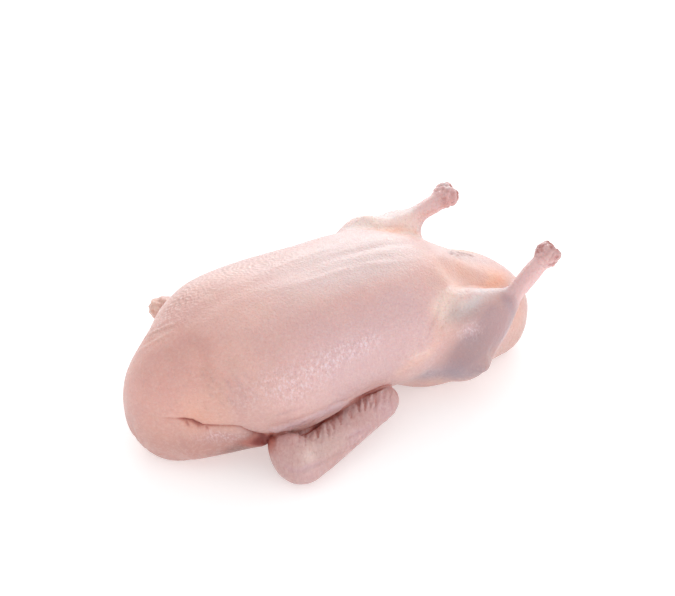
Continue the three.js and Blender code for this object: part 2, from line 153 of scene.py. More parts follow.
def piece(P, d):
    if "at" in d:
        return ball(P, d["at"], d["radii"], d["turn"], d["power"])
    return limb(P, d["from"], d["to"], d["radii"][0], d["radii"][1], d["flat"])


def together(P, parts):
    out = None
    for d in parts.values():
        v = piece(P, d)
        out = v if out is None else soft_join(out, v, d["blend"])
    return out


def press(P, out, hollows):
    for d in hollows.values():
        path = d["path"]
        t = np.min([limb(P, a[:3], b[:3], a[3], b[3]) for a, b in zip(path[:-1], path[1:])], 0)
        out = -soft_join(-out, t, d["blend"])
    return out


def body_distance(P):
    out = None
    for parts, k in JOINS:
        if k is None:
            out = press(P, out, parts)
            continue
        v = together(P, parts)
        out = v if out is None else soft_join(out, v, k)
    return out


def in_blocks(f, P, size=120000):
    return np.concatenate([f(P[i:i + size]) for i in range(0, len(P), size)])


def slope_of(P, f=body_distance, e=0.2):
    g = np.stack([in_blocks(f, P + np.eye(3)[i] * e) - in_blocks(f, P - np.eye(3)[i] * e) for i in range(3)], 1) / (2 * e)
    m = np.sqrt((g ** 2).sum(1)) + 1e-9
    return g / m[:, None], m


def onto_skin(P, passes=2):
    for _ in range(passes):
        n, m = slope_of(P)
        d = in_blocks(body_distance, P) / m
        P = P - n * np.clip(d, -1.0, 1.0)[:, None] * 0.95
    return P


# ---------------------------------------------------------------------------
# Skin mesh: one vertex in every grid cell that the surface crosses.
# ---------------------------------------------------------------------------
def skin_mesh(low, high, cell):
    xs, ys, zs = [np.arange(low[i], high[i] + cell, cell) for i in range(3)]
    # A coarse look first, so that only the cells near the surface are worked out.
    step = 4
    cx, cy, cz = xs[::step], ys[::step], zs[::step]
    C = np.stack(np.meshgrid(cx, cy, cz, indexing="ij"), -1).reshape(-1, 3)
    coarse = in_blocks(body_distance, C).reshape(len(cx), len(cy), len(cz))
    big = np.repeat(np.repeat(np.repeat(coarse, step, 0), step, 1), step, 2)[:len(xs), :len(ys), :len(zs)]
    V = big.copy()
    close = np.abs(big) < cell * step * 2.2
    ii = np.argwhere(close)
    P = np.stack([xs[ii[:, 0]], ys[ii[:, 1]], zs[ii[:, 2]]], 1)
    V[close] = in_blocks(body_distance, P)
    # Where two sheets meet only across the corners of a grid square, fill the gap.
    for _ in range(6):
        changed = False
        for a, b in ((0, 1), (1, 2), (2, 0)):
            def sh(i, j):
                s = [slice(None)] * 3
                s[a] = slice(i, V.shape[a] - 1 + i)
                s[b] = slice(j, V.shape[b] - 1 + j)
                return tuple(s)
            q = [V[sh(0, 0)], V[sh(1, 0)], V[sh(1, 1)], V[sh(0, 1)]]
            i0, i1, i2, i3 = [x < 0 for x in q]
            amb = (i0 == i2) & (i1 == i3) & (i0 != i1)
            if amb.any():
                changed = True
                for m, x in ((amb & ~i0, (0, 0)), (amb & ~i1, (1, 0))):
                    sub = V[sh(*x)]
                    sub[m] = -1e-3
        if not changed:
            break
    inside = V < 0
    grids = (xs, ys, zs)
    shape = tuple(s - 1 for s in V.shape)
    acc = np.zeros(shape + (3,))
    cnt = np.zeros(shape)
    for ax in range(3):
        s0, s1 = [slice(None)] * 3, [slice(None)] * 3
        s0[ax], s1[ax] = slice(0, -1), slice(1, None)
        a, b = V[tuple(s0)], V[tuple(s1)]
        cross = (a < 0) != (b < 0)
        k = np.argwhere(cross)
        t = a[cross] / (a[cross] - b[cross])
        co = np.stack([grids[d][k[:, d]] for d in range(3)], 1)
        co[:, ax] += t * cell
        o = [d for d in range(3) if d != ax]
        for i in (0, 1):
            for j in (0, 1):
                m = k.copy()
                m[:, o[0]] -= i
                m[:, o[1]] -= j
                ok = ((m >= 0) & (m < np.array(shape))).all(1)
                mm = m[ok]
                np.add.at(acc, (mm[:, 0], mm[:, 1], mm[:, 2]), co[ok])
                np.add.at(cnt, (mm[:, 0], mm[:, 1], mm[:, 2]), 1)
    has = cnt > 0
    index = -np.ones(shape, int)
    index[has] = np.arange(has.sum())
    verts = acc[has] / cnt[has][:, None]
    quads = []
    for ax in range(3):
        s0, s1 = [slice(None)] * 3, [slice(None)] * 3
        s0[ax], s1[ax] = slice(0, -1), slice(1, None)
        a, b = inside[tuple(s0)], inside[tuple(s1)]
        k = np.argwhere(a != b)
        o = [(ax + 1) % 3, (ax + 2) % 3]
        lim = a.shape
        ok = (k[:, o[0]] > 0) & (k[:, o[1]] > 0) & (k[:, o[0]] < lim[o[0]] - 1) & (k[:, o[1]] < lim[o[1]] - 1)
        k = k[ok]

        def cell_at(di, dj):
            m = k.copy()
            m[:, o[0]] += di
            m[:, o[1]] += dj
            return index[m[:, 0], m[:, 1], m[:, 2]]
        q = np.stack([cell_at(-1, -1), cell_at(0, -1), cell_at(0, 0), cell_at(-1, 0)], 1)
        flip = b[k[:, 0], k[:, 1], k[:, 2]]
        q[flip] = q[flip][:, ::-1]
        quads.append(q)
    quads = np.concatenate(quads)
    verts = onto_skin(verts)
    tris = np.concatenate([quads[:, [0, 1, 2]], quads[:, [0, 2, 3]]])
    return verts, tris


def refine(verts, tris, length_at):
    """Splits every edge longer than length_at says, and keeps the mesh closed."""
    e = np.concatenate([tris[:, [0, 1]], tris[:, [1, 2]], tris[:, [2, 0]]])
    es = np.sort(e, 1)
    key = es[:, 0] * (len(verts) + 1) + es[:, 1]
    uniq, first, inv = np.unique(key, return_index=True, return_inverse=True)
    ue = es[first]
    mid = (verts[ue[:, 0]] + verts[ue[:, 1]]) / 2
    length = np.linalg.norm(verts[ue[:, 0]] - verts[ue[:, 1]], axis=1)
    split = length > length_at(mid)
    new_id = -np.ones(len(ue), int)
    new_id[split] = len(verts) + np.arange(split.sum())
    verts = np.concatenate([verts, onto_skin(mid[split], 2)])
    m = new_id[inv].reshape(3, -1).T
    out = []
    n = (m >= 0).sum(1)
    out.append(tris[n == 0])
    for r in range(3):
        t = tris[:, [r, (r + 1) % 3, (r + 2) % 3]]
        k = m[:, [r, (r + 1) % 3, (r + 2) % 3]]
        one = (n == 1) & (k[:, 0] >= 0)
        a, b, c, x = t[one, 0], t[one, 1], t[one, 2], k[one, 0]
        out += [np.stack([a, x, c], 1), np.stack([x, b, c], 1)]
        two = (n == 2) & (k[:, 0] >= 0) & (k[:, 1] >= 0)
        a, b, c, x, y = t[two, 0], t[two, 1], t[two, 2], k[two, 0], k[two, 1]
        out += [np.stack([x, b, y], 1), np.stack([a, x, y], 1), np.stack([a, y, c], 1)]
    three = n == 3
    a, b, c = tris[three].T
    x, y, z = m[three].T
    out += [np.stack([a, x, z], 1), np.stack([x, b, y], 1), np.stack([z, y, c], 1), np.stack([x, y, z], 1)]
    return verts, np.concatenate(out)


# ---------------------------------------------------------------------------
# Seeded noise, and distances to lines on the skin.
# ---------------------------------------------------------------------------
_table = np.random.RandomState(11).rand(4096)


def _hash(i, j, k, seed):
    h = (i * 374761393 + j * 668265263 + k * 2147483647 + seed * 1274126177) & 0xFFFFFFFF
    h = ((h ^ (h >> 13)) * 1274126177) & 0xFFFFFFFF
    return _table[(h ^ (h >> 16)) & 4095]


def noise(P, size, seed=0):
    """Smooth value noise from -1 to 1 whose lumps are about size across (a number, or one for each axis)."""
    q = P / np.array(size, float)
    i = np.floor(q).astype(np.int64)
    f = q - i
    f = f * f * f * (f * (f * 6 - 15) + 10)
    out = 0
    for a in (0, 1):
        for b in (0, 1):
            for c in (0, 1):
                w = (f[:, 0] if a else 1 - f[:, 0]) * (f[:, 1] if b else 1 - f[:, 1]) * (f[:, 2] if c else 1 - f[:, 2])
                out = out + w * _hash(i[:, 0] + a, i[:, 1] + b, i[:, 2] + c, seed)
    return out * 2 - 1


def line_distance(P, line):
    """Distance to a line of points, how far along it (0 to 1), and the side (the signed offset along across)."""
    line = np.array(line, float)
    seg = np.linalg.norm(np.diff(line, axis=0), axis=1)
    start = np.concatenate([[0], np.cumsum(seg)])
    best = np.full(len(P), 1e9)
    along = np.zeros(len(P))
    off = np.zeros((len(P), 3))
    for i in range(len(line) - 1):
        a, b = line[i], line[i + 1]
        t = np.clip(((P - a) @ (b - a)) / ((b - a) @ (b - a)), 0, 1)
        d = P - a - t[:, None] * (b - a)
        r = np.sqrt((d * d).sum(1))
        m = r < best
        best[m] = r[m]
        along[m] = (start[i] + t[m] * seg[i]) / start[-1]
        off[m] = d[m]
    return best, along, off


def smooth(x, lo, hi):
    t = np.clip((x - lo) / (hi - lo), 0, 1)
    return t * t * (3 - 2 * t)


def spot(P, at, r):
    """A soft round patch: 1 at its middle, 0 from about two radii (r is a number, or one for each axis)."""
    return np.exp(-(((P - np.array(at, float)) / np.array(r, float)) ** 2).sum(1))


# ---------------------------------------------------------------------------
# Where things are, mm.
# ---------------------------------------------------------------------------
MID_Y = -10.5                                                   # the keel's line
ELBOW = np.array(NEAR_WING["nearForearm"]["from"])
WRIST = np.array(NEAR_WING["nearForearm"]["to"])
FAR_ELBOW = np.array(FAR_WING["farForearm"]["from"])
FAR_WRIST = np.array(FAR_WING["farForearm"]["to"])
NEAR_HOCK = (np.array(NEAR_LEG["nearHockIn"]["at"]) + np.array(NEAR_LEG["nearHockOut"]["at"])) / 2
FAR_HOCK = (np.array(FAR_LEG["farHockIn"]["at"]) + np.array(FAR_LEG["farHockOut"]["at"])) / 2
NEAR_SHIN = np.array(NEAR_LEG["nearShank"]["from"])
FAR_SHIN = np.array(FAR_LEG["farShank"]["from"])

SHOULDER_LINE = [(-151.8, -37.4, 48.4), (-146.5, -41.9, 48.4), (-140.9, -46.0, 48.1), (-137.6, -48.3, 47.4), (-134.2, -50.6, 46.7),
                 (-131.4, -52.2, 43.2), (-127.9, -54.4, 42.4), (-122.8, -57.8, 41.8), (-117.5, -62.3, 42.6), (-112.2, -66.9, 43.6),
                 (-107.8, -70.3, 43.3), (-102.4, -71.4, 38.4), (-96.4, -71.5, 33.4), (-92.4, -72.8, 31.7)]
SHOULDER_PUCKERS = [[(-138.7, -47.6, 48.2), (-137.1, -48.6, 44.8), (-135.4, -49.4, 41.2)],
                    [(-132.5, -51.8, 46.8), (-130.2, -53.1, 44.2), (-131.0, -52.0, 39.3)],
                    [(-127.0, -55.0, 42.0), (-124.5, -56.0, 38.0)]]
WING_LINE = [(-89.8, -76.7, 35.9), (-84.2, -77.9, 34.5), (-79.5, -82.1, 35.4), (-73.9, -84.1, 33.0), (-65.3, -81.9, 28.6), (-61.4, -82.1, 28.9),
             (-55.6, -80.5, 29.8), (-50.5, -80.0, 31.0), (-43.8, -79.6, 32.4), (-36.8, -78.8, 33.5), (-32.4, -78.2, 34.8), (-30.2, -79.2, 37.0),
             (-25.9, -78.6, 38.6), (-15.4, -75.9, 38.1), (-7.1, -75.8, 37.5), (0.9, -76.2, 38.1), (10.8, -73.9, 35.5)]
WEB_TOP = [(-95.0, -77.9, 43.2), (-88.6, -80.5, 43.2), (-80.0, -83.3, 44.3), (-70.9, -85.2, 45.3), (-61.9, -86.2, 46.7), (-52.4, -86.2, 47.2),
           (-41.3, -84.9, 47.1), (-28.3, -80.8, 42.9)]
WEB_WRINKLES = [[(-86.3, -82.1, 46.0), (-80.4, -84.1, 47.5), (-71.8, -85.4, 46.6), (-65.2, -86.3, 48.1)],
                [(-73.7, -81.7, 37.1), (-68.4, -83.5, 39.7), (-62.3, -85.3, 43.7)],
                [(-63.1, -78.3, 29.7), (-60.3, -81.8, 35.2), (-55.8, -85.0, 42.6)],
                [(-56.1, -79.9, 32.3), (-51.7, -83.5, 39.0), (-44.4, -84.8, 44.9)],
                [(-94.4, -80.1, 51.3), (-86.1, -83.4, 54.5), (-76.6, -85.8, 55.7), (-66.3, -87.1, 56.7)],
                [(-51.7, -84.8, 42.6), (-45.7, -85.7, 47.7), (-38.7, -84.7, 48.6)],
                [(-81.6, -80.3, 37.6), (-77.2, -82.3, 39.8), (-73.3, -83.8, 41.8)]]
FLANK_LINES = [[(-123.2, -55.2, 71.7), (-121.6, -59.0, 66.9)],
               [(-117.6, -58.0, 76.5), (-116.4, -62.5, 71.3)],
               [(-112.1, -60.8, 80.3), (-111.3, -66.0, 74.1)],
               [(-107.1, -64.3, 81.5), (-105.7, -69.8, 75.3)],
               [(-113.2, -66.3, 70.0), (-110.8, -70.0, 64.7)],
               [(-118.7, -62.2, 66.1), (-116.7, -65.2, 61.4)],
               [(-102.1, -70.4, 78.4), (-100.2, -74.9, 72.2)],
               [(-101.5, -65.4, 85.0), (-100.2, -69.9, 80.7)],
               [(-99.3, -74.8, 73.5), (-97.3, -77.8, 67.9)],
               [(-119.2, -52.7, 80.4), (-118.6, -57.1, 76.3)],
               [(-108.6, -68.1, 74.4), (-106.6, -72.3, 68.0)],
               [(-122.9, -52.2, 76.5), (-120.6, -57.6, 72.3), (-118.9, -61.3, 68.2)],
               [(-118.1, -54.8, 79.6), (-115.7, -61.4, 74.6), (-113.7, -65.9, 69.9)],
               [(-113.2, -57.3, 82.7), (-111.1, -64.3, 77.1), (-109.3, -69.1, 71.2)],
               [(-107.5, -61.0, 84.5), (-105.8, -67.5, 78.8), (-103.9, -72.0, 73.5)],
               [(-115.3, -63.3, 72.2), (-112.5, -67.8, 67.4), (-109.3, -71.4, 63.4)],
               [(-106.1, -69.2, 75.9), (-103.5, -73.9, 69.5), (-100.1, -77.1, 64.4)],
               [(-123.3, -46.1, 82.0), (-122.2, -51.0, 78.8)]]
WEB_MIDDLE = [(-85.9, -79.7, 39.0), (-75.6, -82.4, 39.2), (-66.5, -84.3, 41.2), (-56.6, -85.2, 43.0), (-45.2, -84.8, 44.3)]
KNEE_LINE = [(71.3, -53.1, 89.8), (65.4, -57.9, 89.5), (59.7, -62.8, 87.4), (54.8, -66.5, 84.4), (51.1, -69.6, 80.7), (44.7, -73.2, 76.5),
             (39.1, -76.7, 72.0), (34.3, -79.2, 66.7), (29.8, -80.1, 60.2), (25.2, -79.7, 53.0)]
THIGH_EDGE = [(59.4, -79.2, 56.6), (54.7, -78.7, 51.0), (50.4, -77.8, 45.9), (45.3, -75.5, 39.3), (42.5, -69.9, 29.7), (40.9, -60.9, 19.2)]
THIGH_WRINKLES = [[(32.2, -75.6, 77.3), (33.7, -78.8, 68.4), (34.9, -80.0, 60.0)], [(25.8, -77.8, 72.4), (28.1, -79.9, 62.5), (26.7, -79.9, 54.3)],
                  [(19.2, -79.7, 58.7), (31.5, -79.9, 62.9)], [(11.9, -78.3, 50.2), (37.0, -78.6, 49.0)], [(17.0, -79.0, 66.0), (24.0, -79.5, 58.0)]]
VENT = [[(99.0, -15.0, 84.6), (103.1, -12.7, 82.7), (107.0, -8.5, 80.0), (112.0, -4.5, 76.8), (117.7, -1.5, 73.2), (122.0, -1.2, 70.8),
         (126.0, -3.5, 69.0), (129.5, -8.0, 68.2)],
        [(104.0, -17.0, 82.0), (108.0, -13.0, 79.8), (113.0, -8.5, 76.6), (118.5, -6.0, 73.2)]]
NECK_FOLDS = [[(-135.8, 14.9, 76.8), (-129.9, 5.2, 87.3), (-123.3, -0.7, 92.6), (-117.0, -4.0, 96.0)],
              [(-145.7, 6.0, 73.9), (-139.4, -1.2, 82.8), (-131.1, -5.3, 89.0), (-124.3, -10.4, 93.0)]]
TONE_FOLD = [(-116.0, -20.0, 97.0), (-118.5, -33.0, 92.0), (-119.5, -43.0, 86.0), (-119.0, -52.0, 78.0)]
PLANE_EDGE = [(-61.3, -20.3, 109.9), (-48.2, -22.4, 109.9), (-33.7, -25.1, 109.8), (-17.8, -25.5, 109.6), (2.9, -25.1, 109.1),
              (22.1, -27.4, 108.2), (44.9, -31.3, 105.3), (67.8, -29.1, 99.9)]
SHEEN = [(-116.0, -62.0, 66.0), (-104.0, -72.0, 68.0), (-86.8, -76.1, 74.0), (-74.3, -81.2, 72.0), (-59.0, -81.7, 77.0), (-42.2, -79.9, 80.1), (-24.4, -76.8, 81.0), (-6.8, -74.6, 81.8),
         (8.3, -74.0, 82.9)]
# Line of painted shade down the drumstick's shadowed side.
MAUVE_SHADE_LINE = [(103.8, -79.8, 77.6), (91.0, -82.4, 70.6), (82.4, -83.1, 60.2), (75.0, -84.4, 51.4), (69.5, -85.4, 43.5)]
WING_FOLD = [(-81.5, -105.8, 20.3), (-65.8, -105.9, 20.8), (-47.6, -102.2, 19.4), (-36.2, -99.3, 18.0), (-22.4, -95.5, 22.1), (-8.3, -91.3, 26.1)]
WRIST_FOLD = [(-89.5, -95.1, 23.2), (-87.9, -99.1, 20.9), (-84.8, -103.3, 19.9), (-81.6, -105.9, 19.6), (-76.9, -107.3, 22.1), (-69.7, -107.1, 21.5), (-60.7, -105.2, 19.0)]
EDGE_FOLD = [(-42.6, -97.9, 25.8), (-36.6, -97.2, 25.5), (-29.3, -96.1, 25.3), (-22.0, -94.7, 25.0), (-14.4, -93.1, 24.4)]
WRIST_BAND = [(-68.0, -96.0, 31.5), (-73.0, -102.0, 29.5), (-77.5, -105.5, 24.0), (-79.5, -106.0, 18.0)]
PEACH_STRIP = [(66, -60, 85), (54, -69, 77), (42, -76, 66), (31, -79.5, 57), (20, -79, 48)]
VALLEY_EDGE = [(70.0, -60.5, 88.5), (76.4, -55.7, 87.9), (90.6, -44.6, 77.5), (100.5, -40.8, 72.9), (108.6, -39.6, 69.4), (115.9, -39.6, 66.1), (123.2, -39.7, 63.6), (131.7, -38.0, 62.4)]
FAR_EDGE = [(62.0, 33.5, 93.0), (74.2, 34.7, 90.3), (88.2, 35.6, 86.2), (100.3, 37.4, 81.4), (111.0, 39.5, 79.5)]
INNER_LEG = [(107.1, -78.8, 78.4), (104.4, -83.3, 69.0), (100.3, -85.1, 58.4), (95.2, -85.6, 51.8), (90.1, -85.8, 44.9)]
LEG_EDGE = [(112.1, -79.3, 77.0), (113.4, -80.7, 68.6), (110.0, -82.5, 58.0), (104.0, -83.5, 48.0)]
# Notches and strokes on the wing, pressed in and painted with shade: top, tip, half width at the top, strength.
NOTCHES = [((-78.9, -85.1, 36.3), (-85.7, -95.5, 31.5), 0.5, 0.45),
           ((-73.5, -79.7, 33.1), (-80.4, -91.9, 36.4), 1.0, 0.50),
           ((-65.3, -77.9, 28.5), (-75.8, -94.9, 35.7), 1.0, 0.55),
           ((-75.4, -94.1, 35.8), (-78.9, -100.2, 32.7), 0.5, 0.42),
           ((-62.3, -79.6, 28.5), (-73.5, -99.0, 33.2), 1.0, 0.60),
           ((-59.7, -80.7, 29.0), (-65.1, -89.9, 29.6), 2.0, 0.45),
           ((-54.0, -81.9, 30.2), (-58.9, -91.6, 29.1), 2.3, 0.72),
           ((-46.0, -82.0, 31.4), (-52.3, -94.0, 28.9), 1.0, 0.60),
           ((-40.4, -79.4, 32.7), (-45.4, -90.4, 30.6), 2.7, 0.70),
           ((-33.4, -78.5, 33.7), (-39.3, -89.7, 31.2), 2.4, 0.72),
           ((-25.4, -78.8, 39.5), (-29.7, -87.2, 32.7), 3.9, 0.55),
           ((-17.1, -75.9, 37.0), (-22.0, -85.4, 33.8), 2.4, 0.85),
           ((-11.5, -76.2, 36.8), (-18.1, -86.9, 33.2), 1.4, 0.80),
           ((-8.6, -76.9, 37.0), (-12.8, -85.0, 34.3), 1.0, 0.70),
           ((-4.0, -77.5, 37.4), (-8.9, -86.8, 33.0), 1.4, 0.70),
           ((0.6, -82.2, 35.9), (-2.4, -86.9, 32.3), 0.8, 0.42),
           ((4.2, -83.0, 35.1), (2.0, -87.9, 29.4), 0.8, 0.36),
           ((-46.8, -91.4, 30.2), (-54.4, -101.5, 23.5), 0.6, 0.38),
           ((-37.8, -92.6, 29.9), (-40.9, -97.6, 25.8), 0.5, 0.30),
           ((-82.9, -102.9, 25.9), (-83.8, -104.2, 20.1), 0.5, 0.30),
           ((-84.1, -100.9, 27.6), (-85.5, -101.8, 22.7), 0.5, 0.30),
           ((-85.1, -89.1, 34.6), (-87.2, -92.8, 31.1), 0.5, 0.30),
           ((-85.9, -85.0, 33.9), (-89.6, -90.0, 28.4), 1.3, 0.28),
           ((-57.7, -95.0, 28.3), (-62.3, -101.3, 24.9), 0.5, 0.25),
           ((-67.1, -97.5, 29.5), (-72.2, -104.8, 27.1), 0.5, 0.22),
           ((-45.3, -95.7, 28.1), (-48.9, -100.3, 23.9), 0.5, 0.25),
           ((-27.1, -91.0, 30.7), (-30.5, -95.2, 27.0), 0.5, 0.25),
           ((-85.9, -95.9, 30.9), (-86.0, -100.1, 25.2), 0.6, 0.28),
           ((-88.8, -83.1, 30.3), (-91.0, -88.2, 25.1), 1.2, 0.25),
           ((-78.4, -103.3, 29.5), (-79.7, -105.5, 24.6), 0.4, 0.22),
           ((-74.7, -105.1, 27.4), (-76.8, -107.1, 22.7), 0.4, 0.20),
           ((-66.5, -103.1, 25.2), (-69.5, -106.8, 22.1), 0.4, 0.20),
           ((-56.2, -99.0, 26.0), (-60.4, -103.5, 22.1), 0.4, 0.20),
           ((-33.5, -84.1, 33.1), (-37.6, -89.6, 31.4), 0.5, 0.25)]


def other_side(line):
    return [(x, 2 * MID_Y - y, z) for x, y, z in line]


def wing_place(P, elbow, wrist, flat=0.85):
    """How far along a forearm (0 elbow, 1 wrist), its direction inwards-up (1) to outwards-down (-1), and the distance from its axis."""
    ax = wrist - elbow
    L = np.linalg.norm(ax)
    ax = ax / L
    out = np.array((0.0, -1.0 if elbow[1] < 0 else 1.0, 0.0))
    out = out - (out @ ax) * ax
    out /= np.linalg.norm(out)
    up = np.cross(ax, out)
    up *= np.sign(up[2])
    q = P - elbow
    t = (q @ ax) / L
    u, o = q @ up, q @ out
    r = np.hypot(u, o) + 1e-6
    return t, (0.75 * u - 0.66 * o) / r, r, u / r, L


# ---------------------------------------------------------------------------
# The mesh, finer where the folds are.
# ---------------------------------------------------------------------------
SIDES = ((1.0, lambda line: line), (0.8, other_side))


def wanted_length(P):
    fine = np.zeros(len(P))
    for e, w in ((ELBOW, WRIST), (FAR_ELBOW, FAR_WRIST)):
        d, _, _ = line_distance(P, [e, w])
        fine = np.maximum(fine, smooth(-d, -30, -21))
    for h in (NEAR_HOCK, FAR_HOCK):
        fine = np.maximum(fine, 1.25 * smooth(-np.linalg.norm(P - h, axis=1), -17, -12))
    for line in (SHOULDER_LINE, WING_LINE, KNEE_LINE, VENT[0]):
        d, _, _ = line_distance(P, line)
        fine = np.maximum(fine, 1.1 * smooth(-d, -8, -4))
    return 2.9 - 1.35 * fine


verts, tris = skin_mesh((-172, -117, -12), (172, 117, 120), 2.1)
for _ in range(2):
    verts, tris = refine(verts, tris, wanted_length)

# ---------------------------------------------------------------------------
# Folds, ridges and unevenness, as moves along the skin's own normal.
# ---------------------------------------------------------------------------
P = verts
N, _m = slope_of(P)
move = np.zeros(len(P))
# Painted shade in creases, slits and recesses, as a weight on each point.
crease_shade = np.zeros(len(P))

torso_d = in_blocks(lambda Q: together(Q, TORSO), P)
wing_n = in_blocks(lambda Q: together(Q, NEAR_WING), P)
wing_f = in_blocks(lambda Q: together(Q, FAR_WING), P)
on_wing = smooth(-np.minimum(wing_n, wing_f), -2.5, 0.3) * smooth(torso_d, -1.5, 1.5)
off_wing = 1 - on_wing


def gauss(d, w):
    return np.exp(-(d / w) ** 2)


def bow(t):
    return np.sin(np.pi * np.clip(t, 0.02, 0.98)) ** 0.7


def upright(at, across, tall, sign, deep=9.0):
    """A short upright mark; sign +1 on the near side, -1 on the far side."""
    q = P - np.array(at)
    c = 0.857 * q[:, 0] - 0.515 * sign * q[:, 1]
    d = 0.515 * q[:, 0] + 0.857 * sign * q[:, 1]
    return np.exp(-(c / across) ** 2 - (q[:, 2] / tall) ** 2 - (d / deep) ** 2)


def mark_distance(top, tip, sign):
    """Distance from a short mark and the place along it, seen square to a plane that slopes down and outwards."""
    across = np.array((0.857, -0.515, 0.0))
    upward = np.array((0.288, 0.479, 0.829))
    Q = P if sign > 0 else np.stack([P[:, 0], 2 * MID_Y - P[:, 1], P[:, 2]], 1)
    a, b = np.array(top), np.array(tip)
    q = np.stack([(Q - a) @ across, (Q - a) @ upward], 1)
    v = np.array([(b - a) @ across, (b - a) @ upward])
    t = np.clip((q @ v) / (v @ v), 0, 1)
    d = np.linalg.norm(q - t[:, None] * v, axis=1)
    deep = (Q - (a + b) / 2) @ np.cross(across, upward)
    return d + 30 * smooth(np.abs(deep), 12, 18), t


# Broad unevenness of the flesh under the skin, and small lumps.
calm = smooth(P[:, 2], 2.0, 14.0)
move += calm * (0.8 * noise(P, 36, 1) + 0.35 * noise(P, 17, 2) + 0.10 * noise(P, 7.5, 3))

# The crease above the shoulder roll, with short puckers, deepest where it meets the wing.
for s, side in SIDES:
    d, t, off = line_distance(P, side(SHOULDER_LINE))
    wander = 1 + 0.3 * noise(P, 8, 21)
    depth = s * (0.5 + 1.7 * smooth(t, 0.1, 0.3) - 0.5 * smooth(t, 0.45, 0.6) + 1.6 * smooth(t, 0.78, 1.0)) * smooth(t, -0.02, 0.05)
    move -= 0.9 * depth * gauss(d, 1.1 * wander) + 0.4 * depth * gauss(d, 5.0)
    under = smooth(-off[:, 2], 0.0, 2.0)
    move += under * 0.5 * depth * gauss(d - 6.5, 4.0)
    # Painted shade along the crease and, fainter, beside it.
    crease_shade = np.maximum(crease_shade, s * (0.34 + 0.50 * smooth(t, 0.13, 0.22) - 0.30 * smooth(t, 0.42, 0.55) + 0.35 * smooth(t, 0.8, 1.0)) * smooth(t, -0.01, 0.04) * gauss(d, 1.05 * wander))
    crease_shade = np.maximum(crease_shade, s * 0.16 * smooth(t, 0.15, 0.22) * smooth(-t, -0.55, -0.40) * gauss(d, 3.2))
    for line in SHOULDER_PUCKERS:
        d, t, off = line_distance(P, side(line))
        move -= s * bow(t) * (1.0 * gauss(d, 1.1) - 0.35 * gauss(d - 3.0, 1.6))
        # Painted shade in each pucker.
        crease_shade = np.maximum(crease_shade, s * 0.55 * bow(t) * gauss(d, 1.15))

# The breast's lower edge over the wing, and the thin web of skin above it.
web = np.zeros(len(P))
# Painted shade in the wrinkles of the web and the flank.
wrinkle_shade_mask = np.zeros(len(P))
for s, side in SIDES:
    d, t, off = line_distance(P, side(WING_LINE))
    ends = smooth(t, 0.0, 0.05) * smooth(-t, -1.0, -0.95)
    move -= s * ends * (1.5 * gauss(d, 1.1) + 0.4 * gauss(d, 4.0))
    above = smooth(off[:, 2], 0.0, 1.5) * off_wing
    move += s * ends * above * 0.9 * gauss(d - 3.2, 2.2)
    thick = 0.5 + 0.5 * smooth(t, 0.28, 0.36) * smooth(-t, -0.95, -0.62)
    # Painted shade along the breast's lower edge, where it overhangs the wing.
    crease_shade = np.maximum(crease_shade, s * ends * (0.62 + 0.33 * thick) * (0.68 + 0.32 * smooth(t, 0.16, 0.30)) * gauss(d, 0.7 + 0.7 * thick))
    dw, tw, offw = line_distance(P, side(WEB_TOP))
    ends = smooth(tw, 0.0, 0.15) * smooth(-tw, -1.0, -0.9)
    below = smooth(-offw[:, 2], 0.0, 1.8) * off_wing
    move += s * ends * (0.55 * below * gauss(dw - 4.0, 4.0) - 0.65 * gauss(dw, 1.1) - 0.25 * gauss(dw, 3.0))
    web = np.maximum(web, s * ends * below * smooth(-dw, -11, -3) * smooth(np.minimum(wing_n, wing_f), 0.3, 2.5))
    for i, line in enumerate(WEB_WRINKLES):
        dm, tm, _ = line_distance(P, side(line))
        move -= s * bow(tm) * (0.42 * gauss(dm, 0.9) - 0.22 * gauss(dm - 2.0, 1.1))
        # Painted shade in each web wrinkle.
        wrinkle_shade_mask = np.maximum(wrinkle_shade_mask, s * bow(tm) * gauss(dm, 1.1) * np.clip(0.7 + 0.9 * noise(P, 6, 140 + i), 0, 1))
    for i, line in enumerate(FLANK_LINES):
        dm, tm, _ = line_distance(P, side(line))
        wavy = dm + 0.5 * noise(P, 4, 150 + i)
        move -= s * bow(tm) * (0.45 * gauss(wavy, 1.0) - 0.35 * gauss(wavy - 2.0, 0.9))
        # Painted shade in each fine fold of the flank.
        wrinkle_shade_mask = np.maximum(wrinkle_shade_mask, s * 0.40 * bow(tm) * gauss(wavy, 1.1))
    dm, tm, _ = line_distance(P, side(WEB_MIDDLE))
    move -= s * 0.35 * bow(tm) * gauss(dm, 1.2)

# Keel end of the breast: a shallow groove between two low rounded ridges.
along = smooth(P[:, 0], -25, 35) * smooth(-P[:, 0], -90, -66)
topside = smooth(N[:, 2], 0.5, 0.8)
y = P[:, 1] - (MID_Y + 1.3) + 1.2 * noise(P, 26, 31)
move += along * topside * (0.62 * gauss(y + 7.5, 5.0) + 0.50 * gauss(y - 9.5, 6.5) - 0.80 * gauss(y, 3.2))
long_ridge = smooth(P[:, 0], -120, -90) * smooth(-P[:, 0], -10, 30) * topside
move -= long_ridge * 0.5 * gauss(y + 1.0, 6.0)
for s, side in SIDES:
    d, t, off = line_distance(P, side(PLANE_EDGE))
    move += s * bow(t) * 0.50 * gauss(d, 3.0) * (1 + 0.6 * noise(P, 14, 32))
    d, t, off = line_distance(P, side(TONE_FOLD))
    move -= s * bow(t) * (0.40 * gauss(d, 3.5) - 0.15 * gauss(d - 7.0, 4.0))

